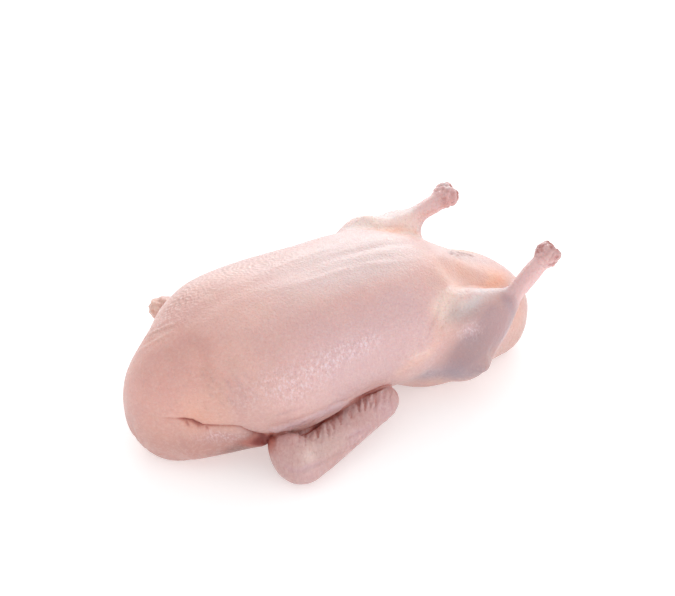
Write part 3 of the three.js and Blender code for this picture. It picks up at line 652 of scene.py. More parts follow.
# The knee under its skin, the fold in front of it and wrinkles on the flank.
for s, side in SIDES:
    d, t, off = line_distance(P, side(KNEE_LINE))
    ends = smooth(t, 0.0, 0.12) * smooth(-t, -0.95, -0.35)
    toward_leg = smooth(off[:, 0], -0.5, 1.5)
    move += s * ends * (0.7 * toward_leg * gauss(d - 3.2, 3.0) - 0.35 * gauss(d, 1.6) - 0.4 * (1 - toward_leg) * gauss(d, 5.0))
    patch = spot(P, side([(64, -67, 87)])[0], (13, 11, 12))
    move += s * patch * (0.46 * noise(P, 2.7, 33) + 0.36 * noise(P, 5.2, 34))
    knob = side([(81.5, -88.0, 35.5)])[0]
    move += s * (4.4 * spot(P, knob, (7.0, 8, 5.5)) - 2.4 * spot(P, side([(90.5, -84.0, 43.0)])[0], (4.5, 7, 5)) - 0.8 * spot(P, side([(70.0, -84.0, 30.0)])[0], (5, 6, 5)))
    d, t, off = line_distance(P, side(THIGH_EDGE))
    move -= s * 0.5 * bow(t) * gauss(d, 2.2)
    for line in THIGH_WRINKLES:
        d, t, off = line_distance(P, side(line))
        move += s * bow(t) * (0.4 * gauss(d, 1.6) - 0.35 * gauss(d - 3.2, 1.8))
flank = spot(P, (96, -66, 40), (22, 30, 34)) + spot(P, (96, 45, 40), (22, 30, 34)) + spot(P, (136, -11, 34), (22, 48, 28))
turn_round = P @ np.array((0.80, 0.0, -0.35))
move += flank * 0.20 * np.sin(turn_round * 2 * np.pi / 5.2 + 2.2 * noise(P, 13, 35))

# Neck end: fine slanting wrinkles, and puckers where the skin is tucked under.
slant = P @ np.array((0.495, 0.786, 0.37))
where = spot(P, (-133, 7, 83), (17, 19, 14)) + 0.5 * spot(P, (-146, -30, 62), (14, 16, 22))
move += 0.36 * where * np.sin(slant * 2 * np.pi / 3.6 + 2.4 * noise(P, 16, 41)) * (0.65 + 0.35 * noise(P, 8, 42))
# Painted highlight along the ridges of the neck folds.
neck_fold_highlight = np.zeros(len(P))
for line in NECK_FOLDS:
    d, t, off = line_distance(P, line)
    move += bow(t) * (0.55 * gauss(d, 1.3) - 0.4 * gauss(d - 3.0, 1.5))
    neck_fold_highlight = np.maximum(neck_fold_highlight, bow(t) * gauss(d, 1.2))
tuck = spot(P, (-160, -11, 14), (16, 30, 22))
ang = np.arctan2(P[:, 2] - 6, P[:, 1] + 11)
move += 0.6 * tuck * np.sin(ang * 13 + 2.0 * noise(P, 16, 43))

# The vent: short wrinkled marks with puckered lips.
slit_mask = np.zeros(len(P))
for i, (line, amount) in enumerate(zip(VENT, (1.0, 0.6))):
    d, t, off = line_distance(P, line)
    ends = amount * smooth(t, -0.02, 0.12) * smooth(-t, -1.02, -0.85)
    there = np.clip(0.55 + 1.1 * noise(P, 8, 50 + i), 0, 1)
    move -= ends * 1.1 * there * gauss(d, 1.1)
    move += ends * 0.6 * there * gauss(d - 2.8, 1.6) * (1 + 0.5 * noise(P, 4, 55 + i))
    slit_mask = np.maximum(slit_mask, ends * gauss(d, 4.4) * np.clip(0.35 + 0.8 * there, 0, 1))
    # Painted shade in the vent's slits.
    crease_shade = np.maximum(crease_shade, ends * 0.58 * there * np.clip(0.6 + 0.8 * noise(P, 2.5, 58 + i), 0, 1) * gauss(d, 1.1))
around = spot(P, (116, -4, 74), (20, 12, 12))
move += around * (0.20 * np.sin((P[:, 0] + 0.7 * P[:, 1]) * 2 * np.pi / 4.0 + 3.4 * noise(P, 7, 51)) + 0.35 * noise(P, 4.5, 60))

# Wings: notches and short ridges below the breast's edge, wrinkled skin at the joints; painted shade in the notches and
# in the dents at the wrist.
ridge_mask = np.zeros(len(P))
notch_shade_mask = np.zeros(len(P))
wrist_cream = np.zeros(len(P))
wing_edge = np.zeros(len(P))
# Mauve patches on the wing, and painted shade along its folds.
wing_mauve_and_fold_shade = np.zeros(len(P))
# Painted reddish shade at the hooks of the shoulder crease, and below at the wrist's upper corner.
wing_red_shade = np.clip(0.7 * spot(P, (-131.0, -52.0, 44.0), (6, 6, 3.5)) + 0.55 * spot(P, (-127.5, -54.5, 41.0), (5, 5, 3.5)), 0, 1)
for s, side, e, w, wd, seed in ((1, SIDES[0][1], ELBOW, WRIST, wing_n, 61), (1, SIDES[1][1], FAR_ELBOW, FAR_WRIST, wing_f, 71)):
    sign = 1.0 if seed == 61 else -1.0
    here = smooth(-wd, -2.5, 0.3) * smooth(torso_d, -1.5, 1.5)
    dl, tl, _ = line_distance(P, side(WING_LINE))
    below = smooth(dl, 0.8, 2.2) * here
    there = smooth(-wd, -2.5, 0.3) * smooth(torso_d, -2.8, -1.0)
    for top, tip, half, strength in NOTCHES:
        dn, tn = mark_distance(top, tip, sign)
        width = 1.15 * half * np.clip(1.12 - tn, 0.12, 1.0) ** 0.6 * (1 + 0.35 * noise(P, 3.5, seed + 13))
        m = strength * there * smooth(-dn / width, -1.5, -0.5)
        move -= 0.8 * m * min(1.0, half / 1.2)
        move += 0.30 * strength * here * gauss(dn - 1.9 * half, 0.9) * min(1.0, half)
        # Painted shade in each notch.
        notch_shade_mask = np.maximum(notch_shade_mask, m)
    # Painted shade in a strip just under the breast's edge.
    notch_shade_mask = np.maximum(notch_shade_mask, 0.60 * there * (1 - smooth(dl, 2.0, 7.0 + 4.0 * noise(P, 4.0, seed + 12))) * smooth(tl, 0.26, 0.40) * smooth(-tl, -0.84, -0.74))
    cross = 0.857 * P[:, 0] - 0.515 * sign * (P[:, 1] - MID_Y) + 1.8 * noise(P, 12, seed)
    small = np.cos(cross * 2 * np.pi / 4.3 + 3.0 * noise(P, 9, seed + 2))
    tiny = np.cos(cross * 2 * np.pi / 2.7 + 4.0 * noise(P, 7, seed + 3))
    reach = below * (1 - smooth(dl, 6.0, 26.0 + 8.0 * noise(P, 15, seed + 1)))
    patchy = np.clip(0.55 + 0.9 * noise(P, 10, seed + 8), 0, 1.2)
    move += reach * patchy * (0.38 * small + 0.20 * tiny)
    move += here * (0.35 * noise(P, 12, seed + 14) + 0.16 * noise(P, 5, seed + 15))
    ridge_mask = np.maximum(ridge_mask, reach * smooth(small * patchy, 0.1, 0.8) * smooth(dl, 4.0, 8.5))
    d, t, off = line_distance(P, side(WING_FOLD))
    move += here * bow(t) * (0.5 * gauss(d - 2.0, 1.8) * smooth(-off[:, 2], -1, 1) - 0.55 * gauss(d, 1.2))
    d2, t2, _ = line_distance(P, side([(-76, -98, 12), (-40, -100, 9), (0, -86, 16)]))
    wing_edge = np.maximum(wing_edge, here * smooth(-d2, -12, -4))
    # Wrinkles round the wrist, drawn towards its outer point, and at the elbow.
    tip = side([(-79.0, -100.0, 31.0)])[0]
    q = P - np.array(tip)
    rr = np.sqrt((q * q).sum(1))
    spin = np.arctan2(q[:, 2], q[:, 0])
    nearby = here * smooth(-rr, -26, -8)
    move += nearby * 0.42 * np.sin(spin * 9 + 2.6 * noise(P, 8, seed + 4)) * smooth(rr, 3.0, 9.0) * np.clip(0.6 + noise(P, 9, seed + 16), 0, 1)
    move += here * smooth(-rr, -28, -12) * (0.45 * noise(P, 6.5, seed + 5) + 0.25 * noise(P, 3.4, seed + 7))
    move -= here * 1.0 * spot(P, side([(-81.0, -96.0, 32.5)])[0], (5.5, 6, 6)) 
    # Painted shade in the dents at the wrist.
    notch_shade_mask = np.maximum(notch_shade_mask, here * 0.5 * spot(P, side([(-81.0, -95.0, 32.0)])[0], (6.5, 7, 7)) * np.clip(0.7 + 0.8 * noise(P, 3.5, seed + 9), 0, 1))
    notch_shade_mask = np.maximum(notch_shade_mask, here * 0.35 * spot(P, side([(-86.5, -96.0, 19.0)])[0], (4.5, 5, 7)) * np.clip(0.7 + 0.8 * noise(P, 4.5, seed + 10), 0, 1))
    # Painted reddish shade on the wrist's upper corner.
    wing_red_shade = np.maximum(wing_red_shade, here * np.clip(0.9 * spot(P, side([(-88.9, -84.6, 30.5)])[0], (6, 7, 8)) + 0.45 * spot(P, side([(-81.6, -98.0, 33.2)])[0], (6, 7, 5)), 0, 1) * np.clip(0.75 + 0.8 * noise(P, 5, seed + 17), 0, 1))
    wing_mauve_and_fold_shade = np.maximum(wing_mauve_and_fold_shade, here * np.clip(0.75 * spot(P, side([(-2.7, -88.9, 29.3)])[0], (10, 9, 8)) + 0.7 * spot(P, side([(-30.2, -97.4, 22.2)])[0], (14, 9, 6)) + 0.55 * spot(P, side([(-76.8, -108.3, 16.6)])[0], (12, 8, 6)), 0, 1))
    band, tb, _ = line_distance(P, side(WRIST_BAND))
    move += here * 0.3 * gauss(band, 5.0)
    for fold, deep in ((WRIST_FOLD, 0.75), (EDGE_FOLD, 0.55)):
        df, tf, off = line_distance(P, side(fold))
        move += here * deep * bow(tf) * (0.55 * gauss(df - 2.4, 1.8) * smooth(-off[:, 2], -1, 1) - gauss(df, 1.3))
        # Painted shade along the fold.
        wing_mauve_and_fold_shade = np.maximum(wing_mauve_and_fold_shade, here * bow(tf) * gauss(df, 2.4))
    lobe, tlobe, _ = line_distance(P, side([(-88.0, -97.0, 22.0), (-85.0, -103.0, 17.0), (-79.0, -106.0, 12.5)]))
    move -= here * 0.6 * bow(tlobe) * gauss(lobe, 1.6)
    wrist_cream = np.maximum(wrist_cream, here * np.clip(0.42 * gauss(band, 6.5) + 0.62 * spot(P, side([(-68.0, -100.8, 27.0)])[0], (15, 12, 10)) + 0.4 * spot(P, side([(-48, -97, 27)])[0], (14, 12, 6)), 0, 1)
                             * np.clip(0.8 + 0.4 * noise(P, 5, seed + 11), 0, 1))
    rr = np.linalg.norm(P - e, axis=1)
    move += here * smooth(-rr, -20, -8) * 0.25 * noise(P, 4.5, seed + 6)

# The far wing's joint that shows behind the shoulder: drawn, lined skin, with painted highlight on its bands and along
# its ridge.
stub = np.clip(1.4 * spot(P, (-87, 96.6, 36), (13, 12, 12)), 0, 1)
bands = np.sin((P @ np.array((0.55, 0.25, 0.8))) * 2 * np.pi / 4.6 + 3.2 * noise(P, 9, 77))
move += stub * (0.45 * bands + 0.45 * noise(P, 4.0, 78))
# Painted highlight on the stub's raised bands.
stub_highlight = stub * smooth(bands, 0.0, 0.8)
d, t, off = line_distance(P, [(-87.0, 104.5, 42.0), (-89.2, 101.8, 42.2), (-90.7, 90.4, 41.1), (-91.5, 84.0, 37.0)])
move += 0.9 * gauss(d, 1.9) * stub
# Painted highlight along the stub's ridge.
stub_highlight = np.clip(0.45 * stub_highlight + stub * 1.2 * gauss(d, 2.1), 0, 1)
for line in ([(-92.5, 99.0, 37.5), (-93.8, 92.8, 39.0), (-94.0, 86.0, 35.0)], [(-84.0, 103.0, 43.5), (-86.1, 99.4, 44.3), (-87.5, 90.0, 43.5)]):
    d, t, off = line_distance(P, line)
    move -= 0.9 * gauss(d, 1.3) * stub
    # Painted shade in the stub's grooves.
    crease_shade = np.maximum(crease_shade, 0.24 * stub * gauss(d, 1.5))

# Painted shade between the stub's bands.
stub_band_shade = stub * smooth(-bands, 0.2, 0.9)

# Leg ends: lumpy gristle round a sunken raw end, and drawn skin on the shanks.
raw = np.zeros(len(P))
gristle = np.zeros(len(P))
shank_mask = np.zeros(len(P))
for hock, shin, seed in ((NEAR_HOCK, NEAR_SHIN, 81), (FAR_HOCK, FAR_SHIN, 91)):
    u = (hock - shin) / np.linalg.norm(hock - shin)
    q = P - hock
    x = q @ u
    rr = np.sqrt(np.maximum((q * q).sum(1) - x * x, 0))
    dist = np.sqrt((q * q).sum(1))
    near = smooth(-dist, -19, -11)
    end = near * smooth(x, -4.0, 2.0)
    lump = noise(P, 4.4, seed)
    a = np.cross(u, (0, 0, 1.0))
    a /= np.linalg.norm(a)
    b = np.cross(a, u)
    rng = np.random.default_rng(seed)
    d1 = np.full(len(P), 99.0)
    d2 = np.full(len(P), 99.0)
    for ring, (count, far_out, height) in enumerate(((5, 3.4, 6.0), (9, 6.6, 4.0), (12, 8.2, 0.5), (11, 8.2, -3.5), (9, 7.6, -7.5))):
        for i in range(count):
            turn = 2 * np.pi * (i + 0.5 * (ring % 2) + 0.35 * rng.uniform(-1, 1)) / count
            c = hock + u * (height + rng.uniform(-1.2, 1.2)) + (a * np.cos(turn) + b * np.sin(turn)) * (far_out + rng.uniform(-0.8, 0.8))
            v = P - c
            qd = np.sqrt(np.maximum((v * v).sum(1) - 0.55 * (v @ u) ** 2, 0)) + 1.3 * noise(P, 3.0, seed + 20 + i) + rng.uniform(-1.6, 1.0)
            d2 = np.minimum(d2, np.maximum(d1, qd))
            d1 = np.minimum(d1, qd)
    crease = gauss(d2 - d1, 0.8)
    top_end = smooth(x, -11, -3) * near
    move += top_end * (0.85 * (1 - smooth(d1, 0.0, 2.8)) - 0.45 * crease + 0.55 * noise(P, 3.2, seed + 15))
    move += near * (0.35 * lump + 0.35 * noise(P, 2.4, seed + 1)) * smooth(x, -10, 0)
    cap = end * smooth(x, 1.0, 5.0)
    move -= cap * 1.6 * gauss(rr, 2.8)
    move += end * 0.6 * gauss(rr - 5.5, 2.0)
    raw = np.maximum(raw, (1.0 if seed == 81 else 0.62) * np.clip(cap * np.clip(0.8 - 0.5 * lump, 0, 1) * smooth(-rr, -7.5, -3.5) + 0.20 * top_end * crease + 0.62 * top_end * smooth(noise(P, 3.0, seed + 16), 0.0, 0.4) + 0.25 * end, 0, 1))
    gristle = np.maximum(gristle, end * smooth(rr, 2.5, 5.0) * np.clip(0.25 + 1.1 * noise(P, 4.0, seed + 7), 0, 1))
    # Painted shade in the sunken raw end.
    crease_shade = np.maximum(crease_shade, cap * 0.5 * smooth(-lump, -0.1, 0.5))
    line_d, line_t, _ = line_distance(P, [shin, hock])
    shank = smooth(-line_d, -12, -9) * smooth(line_t, -0.1, 0.2)
    shank_mask = np.maximum(shank_mask, shank)
    spin = np.arctan2(q @ b, q @ a)
    move += shank * 0.22 * np.sin(spin * 6 + 1.6 * noise(P, 11, seed + 4)) * smooth(-x, 4, 14)
    move += shank * 0.18 * noise(P, 4.0, seed + 5)

# The stub's painted shade between its bands joins the notch shade.
notch_shade_mask = np.maximum(notch_shade_mask, 0.38 * stub_band_shade)

# Skin in the tight places between wing and body is drawn in, and painted darker as shade.
wing_any = np.minimum(wing_n, wing_f)
tight = (1 - smooth(np.abs(torso_d - wing_any), 0.0, 2.6)) * smooth(-np.maximum(torso_d, wing_any), -5, -1.5)
crease_shade = np.maximum(crease_shade, 0.55 * tight)
# Grooves along the valley edges: pressed in, with painted shade in them.
for line, amount in ((VALLEY_EDGE, 0.30), (FAR_EDGE, 0.20)):
    d, t, off = line_distance(P, line)
    move -= 0.5 * bow(t) * gauss(d, 1.6)
    crease_shade = np.maximum(crease_shade, amount * bow(t) * gauss(d, 1.9))
# Painted dark shade in the recess where the wing meets the shoulder roll.
for s, side in SIDES:
    pit = spot(P, side([(-99.5, -70.0, 27.0)])[0], (14.0, 9.0, 4.5))
    deep = spot(P, side([(-88.0, -74.5, 26.5)])[0], (13.0, 9.5, 9.0))
    crease_shade = np.maximum(crease_shade, s * np.clip(0.42 * pit + 0.95 * deep, 0, 1))

# Where the bird lies, the skin is pressed flat.
V = P + N * move[:, None]
V[:, 2] = np.maximum(V[:, 2], 0.0)

# ---------------------------------------------------------------------------
# Colour regions of the skin, as soft weights on its points; many are painted light and shade.
# ---------------------------------------------------------------------------
def both(at, r, far=1.0):
    """The same patch on both sides of the bird."""
    return np.maximum(spot(P, at, r), far * spot(P, (at[0], 2 * MID_Y - at[1], at[2]), r))


def lines_weight(lines, width, far=1.0):
    out = np.zeros(len(P))
    for amount, side in ((1.0, SIDES[0][1]), (far, SIDES[1][1])):
        for line in lines:
            d, t, _ = line_distance(P, side(line))
            out = np.maximum(out, amount * gauss(d, width))
    return out


warp = P + 5.0 * np.stack([noise(P, 19, 111), noise(P, 19, 112), noise(P, 19, 113)], 1)
flat = P
P = warp
# Paler skin on the tops: partly the skin's own paler tone, partly painted top light on the faces turned upwards.
pale_and_top_light = np.clip(0.6 * both((78, -73, 83), (18, 7, 7)) + smooth(N[:, 2], 0.90, 1.0) * smooth(flat[:, 0], -90, 10) * 0.75
               + 0.8 * spot(P, (60, 36, 98), (38, 22, 26)) + 0.35 * spot(P, (88, -10, 92), (30, 22, 20))
               + 0.8 * spot(P, (116, 2, 76), (28, 16, 12)) + 0.55 * both((86, -71, 85), (20, 9, 7)), 0, 1)
# Cream skin on the knee, the wrist and the far thigh, with painted highlight on the neck folds, the thigh's wrinkles
# and the stub.
cream_and_highlight = np.clip(0.9 * both((63, -67, 86), (10, 10, 11)) + 0.6 * both((57.1, -68.2, 82.9), (7, 8, 8)) + 0.5 * both((67.8, -60.8, 88.6), (8, 8, 7)) + 0.9 * spot(P, (101, 36, 82), (16, 14, 12))
                + 0.7 * spot(P, (88, 35, 86), (10, 9, 9)) + 0.5 * spot(P, (64, 48, 92), (12, 12, 12)) + 0.9 * wrist_cream
                + 0.5 * neck_fold_highlight + 0.5 * lines_weight(THIGH_WRINKLES[:3], 1.5) + 0.9 * stub_highlight, 0, 1)
orange = np.clip(0.5 * lines_weight([VALLEY_EDGE[1:]], 5.0) + 0.6 * lines_weight([FAR_EDGE], 3.5, 0.0) + 1.3 * both((127, -38, 66), (9, 11, 8)) + 0.65 * both((100, -30, 79), (26, 12, 12)) + 0.55 * both((76, -38, 92), (14, 12, 12))
                 + 0.42 * both((-126, -53, 60), (18, 16, 18)) + 0.30 * both((-127, -54, 48), (14, 10, 7)) + 0.5 * lines_weight([PEACH_STRIP], 6.5) + 0.35 * both((134, -56, 44), (14, 14, 26))
                 + 0.15 * both((-150, -40, 30), (14, 16, 16)) + 0.7 * stub, 0, 1)
# Pinker skin, with painted shade on the lower side of the shoulder roll.
pinker_and_shade = np.clip(0.68 * spot(P, (-158, -20, 42), (26, 46, 44)) + 0.55 * spot(P, (140, -14, 34), (18, 60, 30)) + 0.6 * spot(P, (-125, -22, 92), (26, 30, 20))
                 + 0.35 * spot(P, (-40, -56, 98), (60, 20, 22)) + 1.0 * both((-112, -60, 24), (34, 14, 13)) + 0.8 * wing_edge + 0.55 * lines_weight([TONE_FOLD], 5.5) + 0.5 * both((-94, -84, 26), (7, 8, 12))
                 + 0.8 * spot(P, (126, 39, 88), (12, 7, 13)), 0, 1)
amber = np.clip(0.50 * lines_weight([VALLEY_EDGE[3:]], 4.0) + 0.9 * both((136.2, -33.0, 62.5), (14, 10, 8)) + 0.35 * both((-128, -54, 50), (12, 10, 6)) + 0.45 * lines_weight([FAR_EDGE], 2.5, 0.0), 0, 1)
# Cooler lilac tone on the breast's sides, partly painted sheen.
cool_and_sheen = np.clip(smooth(P[:, 0], -95, 10) * smooth(-np.abs(P[:, 1] - MID_Y), -70, -20) * 0.2
               + smooth(P[:, 0], -105, -20) * smooth(np.abs(P[:, 1] - MID_Y), 26, 56) * smooth(-P[:, 0], -62, -34), 0, 1) * smooth(P[:, 2], 26, 56)
# Mauve on the thigh and drumstick: partly the skin's own tone, partly painted shade on the leg's shadowed side and
# edges.
lilac_and_shade = np.clip(0.70 * both((77, -84, 51), (19, 14, 20)) + 0.5 * both((95, -82, 70), (10, 8, 9)) + 0.7 * both((60, -80, 44), (11, 12, 12)) + 0.6 * both((92, -78, 56), (16, 12, 26)) + 0.75 * lines_weight([MAUVE_SHADE_LINE[1:]], 5.0)
                + 0.6 * both((110, -77, 80), (9, 8, 8)) + 0.4 * lines_weight([INNER_LEG], 5.0) + 0.65 * lines_weight([LEG_EDGE], 6.0), 0, 1)
# Painted blue-grey shade low on the thigh, near the floor, and along the leg's edge.
blue_shade = np.clip(0.9 * both((46, -74, 28), (14, 14, 11)) + 0.8 * both((62, -83, 32), (14, 12, 9)) + 0.5 * both((79, -87, 31), (9, 9, 8)) + 0.45 * lines_weight([LEG_EDGE], 6.0), 0, 1)
P = flat
# A painted highlight on the thigh: lilac taken out, the cool tone put in, and sheen added below.
lilac_and_shade = np.clip(lilac_and_shade - 0.8 * both((73, -80, 65), (7, 8, 6)) + 0.9 * both((73, -84, 51), (9, 10, 8)), 0, 1)
cool_and_sheen = np.clip(cool_and_sheen + 0.9 * both((73, -80, 65), (7, 8, 6)), 0, 1)
rows = np.clip(1.1 * spot(P, (-62, 24, 102), (52, 24, 30)) + 0.4 * spot(P, (-118, 18, 96), (26, 24, 24)) + 0.12 * spot(P, (-70, -40, 104), (50, 22, 30)), 0, 1) * off_wing * np.clip(0.72 + 0.5 * noise(P, 16, 121), 0, 1)
pebble = np.clip(0.55 + 0.5 * rows + 0.6 * both((66, -74, 76), (30, 16, 22)) + 0.6 * both((64, -67, 87), (12, 11, 12)) + 0.4 * both((-120, -50, 60), (20, 16, 26)), 0, 1) * (1 - 0.7 * on_wing)
# Painted shade: darker towards the bottom, under the shoulder roll and on a patch of the breast's side.
under_shade_mask = np.clip(1.5 * both((-106.1, -65.8, 23.9), (13, 9, 9)) + 0.9 * both((-117.1, -59.7, 18.9), (14, 10, 7)) + smooth(-P[:, 2], -62, -18) + 0.8 * both((-100, -68, 62), (26, 20, 22)), 0, 1)
warm = np.clip(smooth(-P[:, 0], 92, 128) + 0.7 * spot(P, (-105.9, 18.0, 96.6), (16, 16, 14)), 0, 1.7) * off_wing * (1 - 0.6 * orange)
# Painted shade on the thigh's outer face and the lower side of the breast.
side_shade = np.clip(1.05 * both((70, -78, 79), (18, 8, 8)) + 0.60 * both((75, -83, 58), (21, 10, 18)) + 0.22 * both((-20, -83, 52), (60, 12, 14)), 0, 1) * off_wing
shade = np.clip(1.25 * both((-97, -69, 25), (11, 9, 11)) + 1.1 * both((-106, -65, 19), (11, 9, 5)) + 0.4 * both((-117, -60, 15), (16, 10, 5)) + 0.35 * lines_weight([LEG_EDGE[:3]], 4.0) + 0.3 * both((79, -87, 31), (10, 8, 8)) + 0.16 * both((-127, -54, 50), (16, 12, 9)), 0, 1) * off_wing
# Painted sheen and highlights: a band along the breast's side, the roll's top and a spot on the thigh.
sheen = np.zeros(len(P))
for s, side in SIDES:
    d, t, off = line_distance(P, side(SHEEN))
    low = 1.20 - 0.50 * smooth(t, 0.35, 0.85)
    sheen = np.maximum(sheen, (0.42 + 0.58 * smooth(t, 0.12, 0.32)) * smooth(t, -0.02, 0.10) * smooth(-t, -1.02, -0.85) * gauss(d, 11.5 * low))
sheen = np.clip(sheen + 0.8 * both((73, -80, 65), (10, 8, 7)) + 0.9 * both((-116, -59, 33.5), (20, 9, 4.5)), 0, 1)


def make_mesh(name, verts, tris, layers):
    me = bpy.data.meshes.new(name)
    me.vertices.add(len(verts))
    me.vertices.foreach_set("co", (verts * 0.001).astype(np.float32).ravel())
    me.loops.add(len(tris) * 3)
    me.loops.foreach_set("vertex_index", tris.astype(np.int32).ravel())
    me.polygons.add(len(tris))
    me.polygons.foreach_set("loop_start", np.arange(0, len(tris) * 3, 3, dtype=np.int32))
    me.polygons.foreach_set("use_smooth", np.ones(len(tris), bool))
    me.update(calc_edges=True)
    me.validate()
    for key, value in layers.items():
        a = me.attributes.new(key, "FLOAT", "POINT")
        a.data.foreach_set("value", np.clip(value, 0, 2).astype(np.float32))
    ob = bpy.data.objects.new(name, me)
    bpy.context.scene.collection.objects.link(ob)
    return ob


duck = make_mesh("duck_skin", V, tris, dict(
    crease_shade=crease_shade, notch_shade=notch_shade_mask, pale_and_top_light=pale_and_top_light, cream_and_highlight=cream_and_highlight, orange=orange, pinker_and_shade=pinker_and_shade, cool_and_sheen=cool_and_sheen, lilac_and_shade=lilac_and_shade, blue_shade=blue_shade,
    raw=raw, gristle=gristle, rows=rows, pebble=pebble, sheen=sheen, wing=on_wing, ridge=ridge_mask, slit=slit_mask,
    web=web, shank=shank_mask, low=under_shade_mask * (1 - 0.2 * on_wing), shade=shade, warm=warm, side_shade=side_shade, wrinkle_shade=wrinkle_shade_mask, amber=amber, red_shade=wing_red_shade, mauve_and_fold_shade=wing_mauve_and_fold_shade))
print("skin mesh:", len(V), "points,", len(tris), "triangles")


# ---------------------------------------------------------------------------
# Skin material.
# ---------------------------------------------------------------------------
class Nodes:
    """Short ways to add and link shader nodes."""

    def __init__(self, name):
        self.mat = bpy.data.materials.new(name)
        self.mat.use_nodes = True
        self.tree = self.mat.node_tree
        self.tree.nodes.clear()
        self.x = 0

    def add(self, kind, **values):
        n = self.tree.nodes.new(kind)
        self.x += 40
        n.location = (self.x, -(self.x % 600))
        for k, v in values.items():
            setattr(n, k, v)
        return n

    def put(self, socket, value):
        if isinstance(value, bpy.types.NodeSocket):
            self.tree.links.new(value, socket)
        elif value is not None:
            socket.default_value = value

    def weight(self, name):
        return self.add("ShaderNodeAttribute", attribute_name=name).outputs["Fac"]

    def math(self, op, a, b=None, c=None, clamp=False):
        n = self.add("ShaderNodeMath", operation=op, use_clamp=clamp)
        self.put(n.inputs[0], a)
        self.put(n.inputs[1], b)
        self.put(n.inputs[2], c)
        return n.outputs[0]

    def mix(self, fac, a, b, blend="MIX"):
        n = self.add("ShaderNodeMix", data_type="RGBA", blend_type=blend)
        self.put(n.inputs[0], fac)
        self.put(n.inputs[6], a)
        self.put(n.inputs[7], b)
        return n.outputs[2]

    def spread(self, value, lo, hi, to_lo=0.0, to_hi=1.0):
        n = self.add("ShaderNodeMapRange", interpolation_type="SMOOTHSTEP")
        self.put(n.inputs["Value"], value)
        n.inputs["From Min"].default_value = lo
        n.inputs["From Max"].default_value = hi
        n.inputs["To Min"].default_value = to_lo
        n.inputs["To Max"].default_value = to_hi
        return n.outputs["Result"]

    def place(self, turn=(0, 0, 0), stretch=(1, 1, 1), vector=None):
        n = self.add("ShaderNodeMapping")
        self.put(n.inputs["Vector"], vector if vector is not None else self.where)
        n.inputs["Rotation"].default_value = [math.radians(a) for a in turn]
        n.inputs["Scale"].default_value = stretch
        return n.outputs["Vector"]

    def noise(self, size_mm, detail=2.0, rough=0.5, vector=None, distortion=0.0):
        n = self.add("ShaderNodeTexNoise")
        self.put(n.inputs["Vector"], vector if vector is not None else self.where)
        n.inputs["Scale"].default_value = 1000.0 / size_mm
        n.inputs["Detail"].default_value = detail
        n.inputs["Roughness"].default_value = rough
        n.inputs["Distortion"].default_value = distortion
        return n.outputs["Fac"]

    def cells(self, size_mm, vector=None, smooth=0.6, feature="SMOOTH_F1"):
        n = self.add("ShaderNodeTexVoronoi", feature=feature)
        self.put(n.inputs["Vector"], vector if vector is not None else self.where)
        n.inputs["Scale"].default_value = 1000.0 / size_mm
        if feature == "SMOOTH_F1":
            n.inputs["Smoothness"].default_value = smooth
        return n.outputs["Distance"]

    def wave(self, direction, period_mm, warp, warp_mm, stretch=(1, 1, 1)):
        """A sine across the given direction, bent by noise."""
        n = self.add("ShaderNodeVectorMath", operation="DOT_PRODUCT")
        self.put(n.inputs[0], self.where)
        n.inputs[1].default_value = direction
        bend = self.noise(warp_mm, 1.0, 0.5, self.place(stretch=stretch))
        return self.math("SINE", self.math("ADD", self.math("MULTIPLY", n.outputs["Value"], 2000.0 * math.pi / period_mm), self.math("MULTIPLY", bend, warp)))

    def bump(self, height, strength, distance_mm, normal=None):
        n = self.add("ShaderNodeBump")
        self.put(n.inputs["Height"], height)
        n.inputs["Strength"].default_value = strength
        n.inputs["Distance"].default_value = distance_mm / 1000.0
        if normal is not None:
            self.put(n.inputs["Normal"], normal)
        return n.outputs["Normal"]


def srgb(r, g, b):
    def f(c):
        c = c / 255.0
        return c / 12.92 if c <= 0.04045 else ((c + 0.055) / 1.055) ** 2.4
    return (f(r), f(g), f(b), 1.0)


k = Nodes("duck_skin")
k.where = k.add("ShaderNodeTexCoord").outputs["Object"]

SKIN = srgb(229, 181, 171)
SKIN_B = srgb(220, 172, 165)
# Cool lilac colour, partly painted sheen.
COOL_AND_SHEEN = srgb(210, 174, 177)
# Paler colour, partly painted top light.
PALE_AND_TOP_LIGHT = srgb(229, 213, 212)
# Cream colour, also used for painted highlights.
CREAM_AND_HIGHLIGHT = srgb(248, 224, 215)
ORANGE = srgb(244, 192, 166)
# Darker pink, also used as painted shade on the roll.
PINK_AND_SHADE = srgb(205, 153, 145)
# Mauve colour, partly painted shade.
LILAC_AND_SHADE = srgb(172, 140, 145)
# Blue-grey painted shade colour.
BLUE_SHADE = srgb(170, 158, 171)
# Painted shade colours for creases and for the deepest recess.
FOLD_SHADE = srgb(176, 96, 82)
DEEP_SHADE = srgb(128, 38, 28)
# Painted shade colour for the notches.
NOTCH_SHADE = srgb(174, 104, 96)
RAW = srgb(166, 84, 80)
GRISTLE = srgb(214, 176, 174)
WING = srgb(206, 162, 161)
RIDGE = srgb(224, 186, 180)
WEB = srgb(208, 178, 186)
SHANK = srgb(226, 190, 194)

# Broad, soft changes of tone and finer blotches.
big = k.spread(k.noise(30, 2.0, 0.5, None, 0.4), 0.35, 0.65)
fine = k.spread(k.noise(5, 3.0, 0.6), 0.35, 0.7)
colour = k.mix(big, SKIN, SKIN_B)
patches = k.spread(k.noise(14, 2.0, 0.55, None, 0.6), 0.50, 0.66)
colour = k.mix(k.math("MULTIPLY", patches, 0.30), colour, srgb(216, 176, 160))
